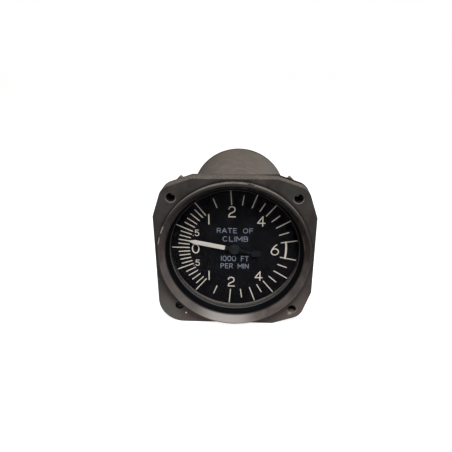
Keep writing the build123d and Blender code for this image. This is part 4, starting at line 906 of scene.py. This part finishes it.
def make_cover_screws():
    """Slotted cheese heads with a broken edge, each left turned as its thread ran out."""
    mesh = bmesh.new()
    seat, top = COVER_SCREWS_HIGH.y - HEAD_HEIGHT, COVER_SCREWS_HIGH.y
    floor = seat + HEAD_HEIGHT / 2
    for number in range(SCREW_COUNT):
        x, z = polar(SCREW_CIRCLE, 360 / SCREW_COUNT * (number + 0.5))
        prism(mesh, oval(x, z, SHANK_RADIUS, SHANK_RADIUS), COVER_SCREWS_LOW.y, seat)
        prism(mesh, oval(x, z, HEAD_RADIUS, HEAD_RADIUS), seat, floor)
        for side in (0, pi):
            turn = radians(FIRST_SLOT_ANGLE + NEXT_SLOT_ANGLE * number) + side
            full = moved(half_head(HEAD_RADIUS, turn), x, z)
            small = moved(half_head(HEAD_RADIUS - HEAD_CHAMFER, turn), x, z)
            stacked(mesh, [(full, floor), (full, top - HEAD_CHAMFER), (small, top)])
    screws = write_mesh(mesh, "slotted_cover_screws", "aged_steel")
    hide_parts("rear_cover_screws")


def make_port_thread():
    """Ridge of the pipe thread, wound down the wall of the port."""
    mesh = bmesh.new()
    turns = (PORT_DEPTH - THREAD_PITCH) / THREAD_PITCH
    rims = []
    for step in range(int(turns * THREAD_STEPS) + 1):
        depth = PORT_REAR - THREAD_PITCH / 2 - THREAD_PITCH * step / THREAD_STEPS
        rim = []
        for radius, along in (
            (PORT_WALL, depth - THREAD_HALF_WIDTH), (PORT_WALL - THREAD_HEIGHT, depth),
            (PORT_WALL, depth + THREAD_HALF_WIDTH),
        ):
            x, z = polar(radius, 360 * step / THREAD_STEPS)
            rim.append(mesh.verts.new((x, along, z)))
        rims.append(rim)
    skin(mesh, rims)
    write_mesh(mesh, "port_thread", "nut_brass")


# Studio

def floor_paint():
    """Grey to the lamps, with a glow that makes it white where it is seen directly."""
    t = new_finish("floor_white")
    plain = t.node("BsdfDiffuse", {0: t.mix(t.noise(t.place(), scale=0.01), *FLOOR_GREY)})
    glow = t.node("Emission", {0: WHITE, 1: FLOOR_GLOW})
    both = t.node("AddShader", {0: plain.outputs[0], 1: glow.outputs[0]})
    return t.show(t.node("MixShader", {0: t.directly_seen(), 1: plain.outputs[0], 2: both.outputs[0]}))


def make_floor():
    """Wide floor that the flange stands on."""
    mesh = bmesh.new()
    bmesh.ops.create_grid(mesh, x_segments=1, y_segments=1, size=FLOOR_HALF_METRES)
    data = bpy.data.meshes.new("floor")
    mesh.to_mesh(data)
    mesh.free()
    data.materials.append(floor_paint())
    floor = bpy.data.objects.new("floor", data)
    floor.location = (0, 0, (CASE_LOW.z - FLOOR_GAP) * MM)
    bpy.context.scene.collection.objects.link(floor)


def make_world():
    """Soft light from all sides, and white where it is seen directly."""
    world = bpy.data.worlds.new("studio")
    bpy.context.scene.world = world
    t = Tree(world, "OutputWorld")
    light = t.node("Background", {0: WORLD_TINT, 1: WORLD_STRENGTH})
    white = t.node("Background", {0: WHITE, 1: 1.0})
    t.show(t.node("MixShader", {0: t.directly_seen(), 1: light.outputs[0], 2: white.outputs[0]}))


def make_lamp(name, place, size, watts, colour):
    """Square soft lamp that aims at the flange's middle."""
    lamp = bpy.data.lights.new(name, "AREA")
    lamp.size = size
    lamp.energy = watts
    lamp.color = colour
    holder = bpy.data.objects.new(name, lamp)
    holder.location = place
    holder.rotation_euler = (-Vector(place)).to_track_quat("-Z", "Y").to_euler()
    bpy.context.scene.collection.objects.link(holder)


def make_camera():
    data = bpy.data.cameras.new("camera")
    data.sensor_width = SENSOR_WIDTH
    data.lens = FOCAL_PIXELS / IMAGE_WIDTH * SENSOR_WIDTH
    data.clip_start, data.clip_end = CLIP_METRES
    camera = bpy.data.objects.new("camera", data)
    back = Vector(CAMERA_BACK).normalized()
    right = Vector(CAMERA_UP).cross(back).normalized()
    turned = Matrix((right, back.cross(right), back)).transposed().to_4x4()
    camera.matrix_world = Matrix.Translation(Vector(CAMERA_PLACE) * MM) @ turned
    bpy.context.scene.collection.objects.link(camera)
    bpy.context.scene.camera = camera


dress_nodes()
make_ticks()
make_numerals()
make_legend()
make_cover_screws()
make_port_thread()
make_floor()
make_world()
for lamp_values in LAMPS:
    make_lamp(*lamp_values)
make_camera()
bpy.context.scene.view_settings.view_transform = "Standard"
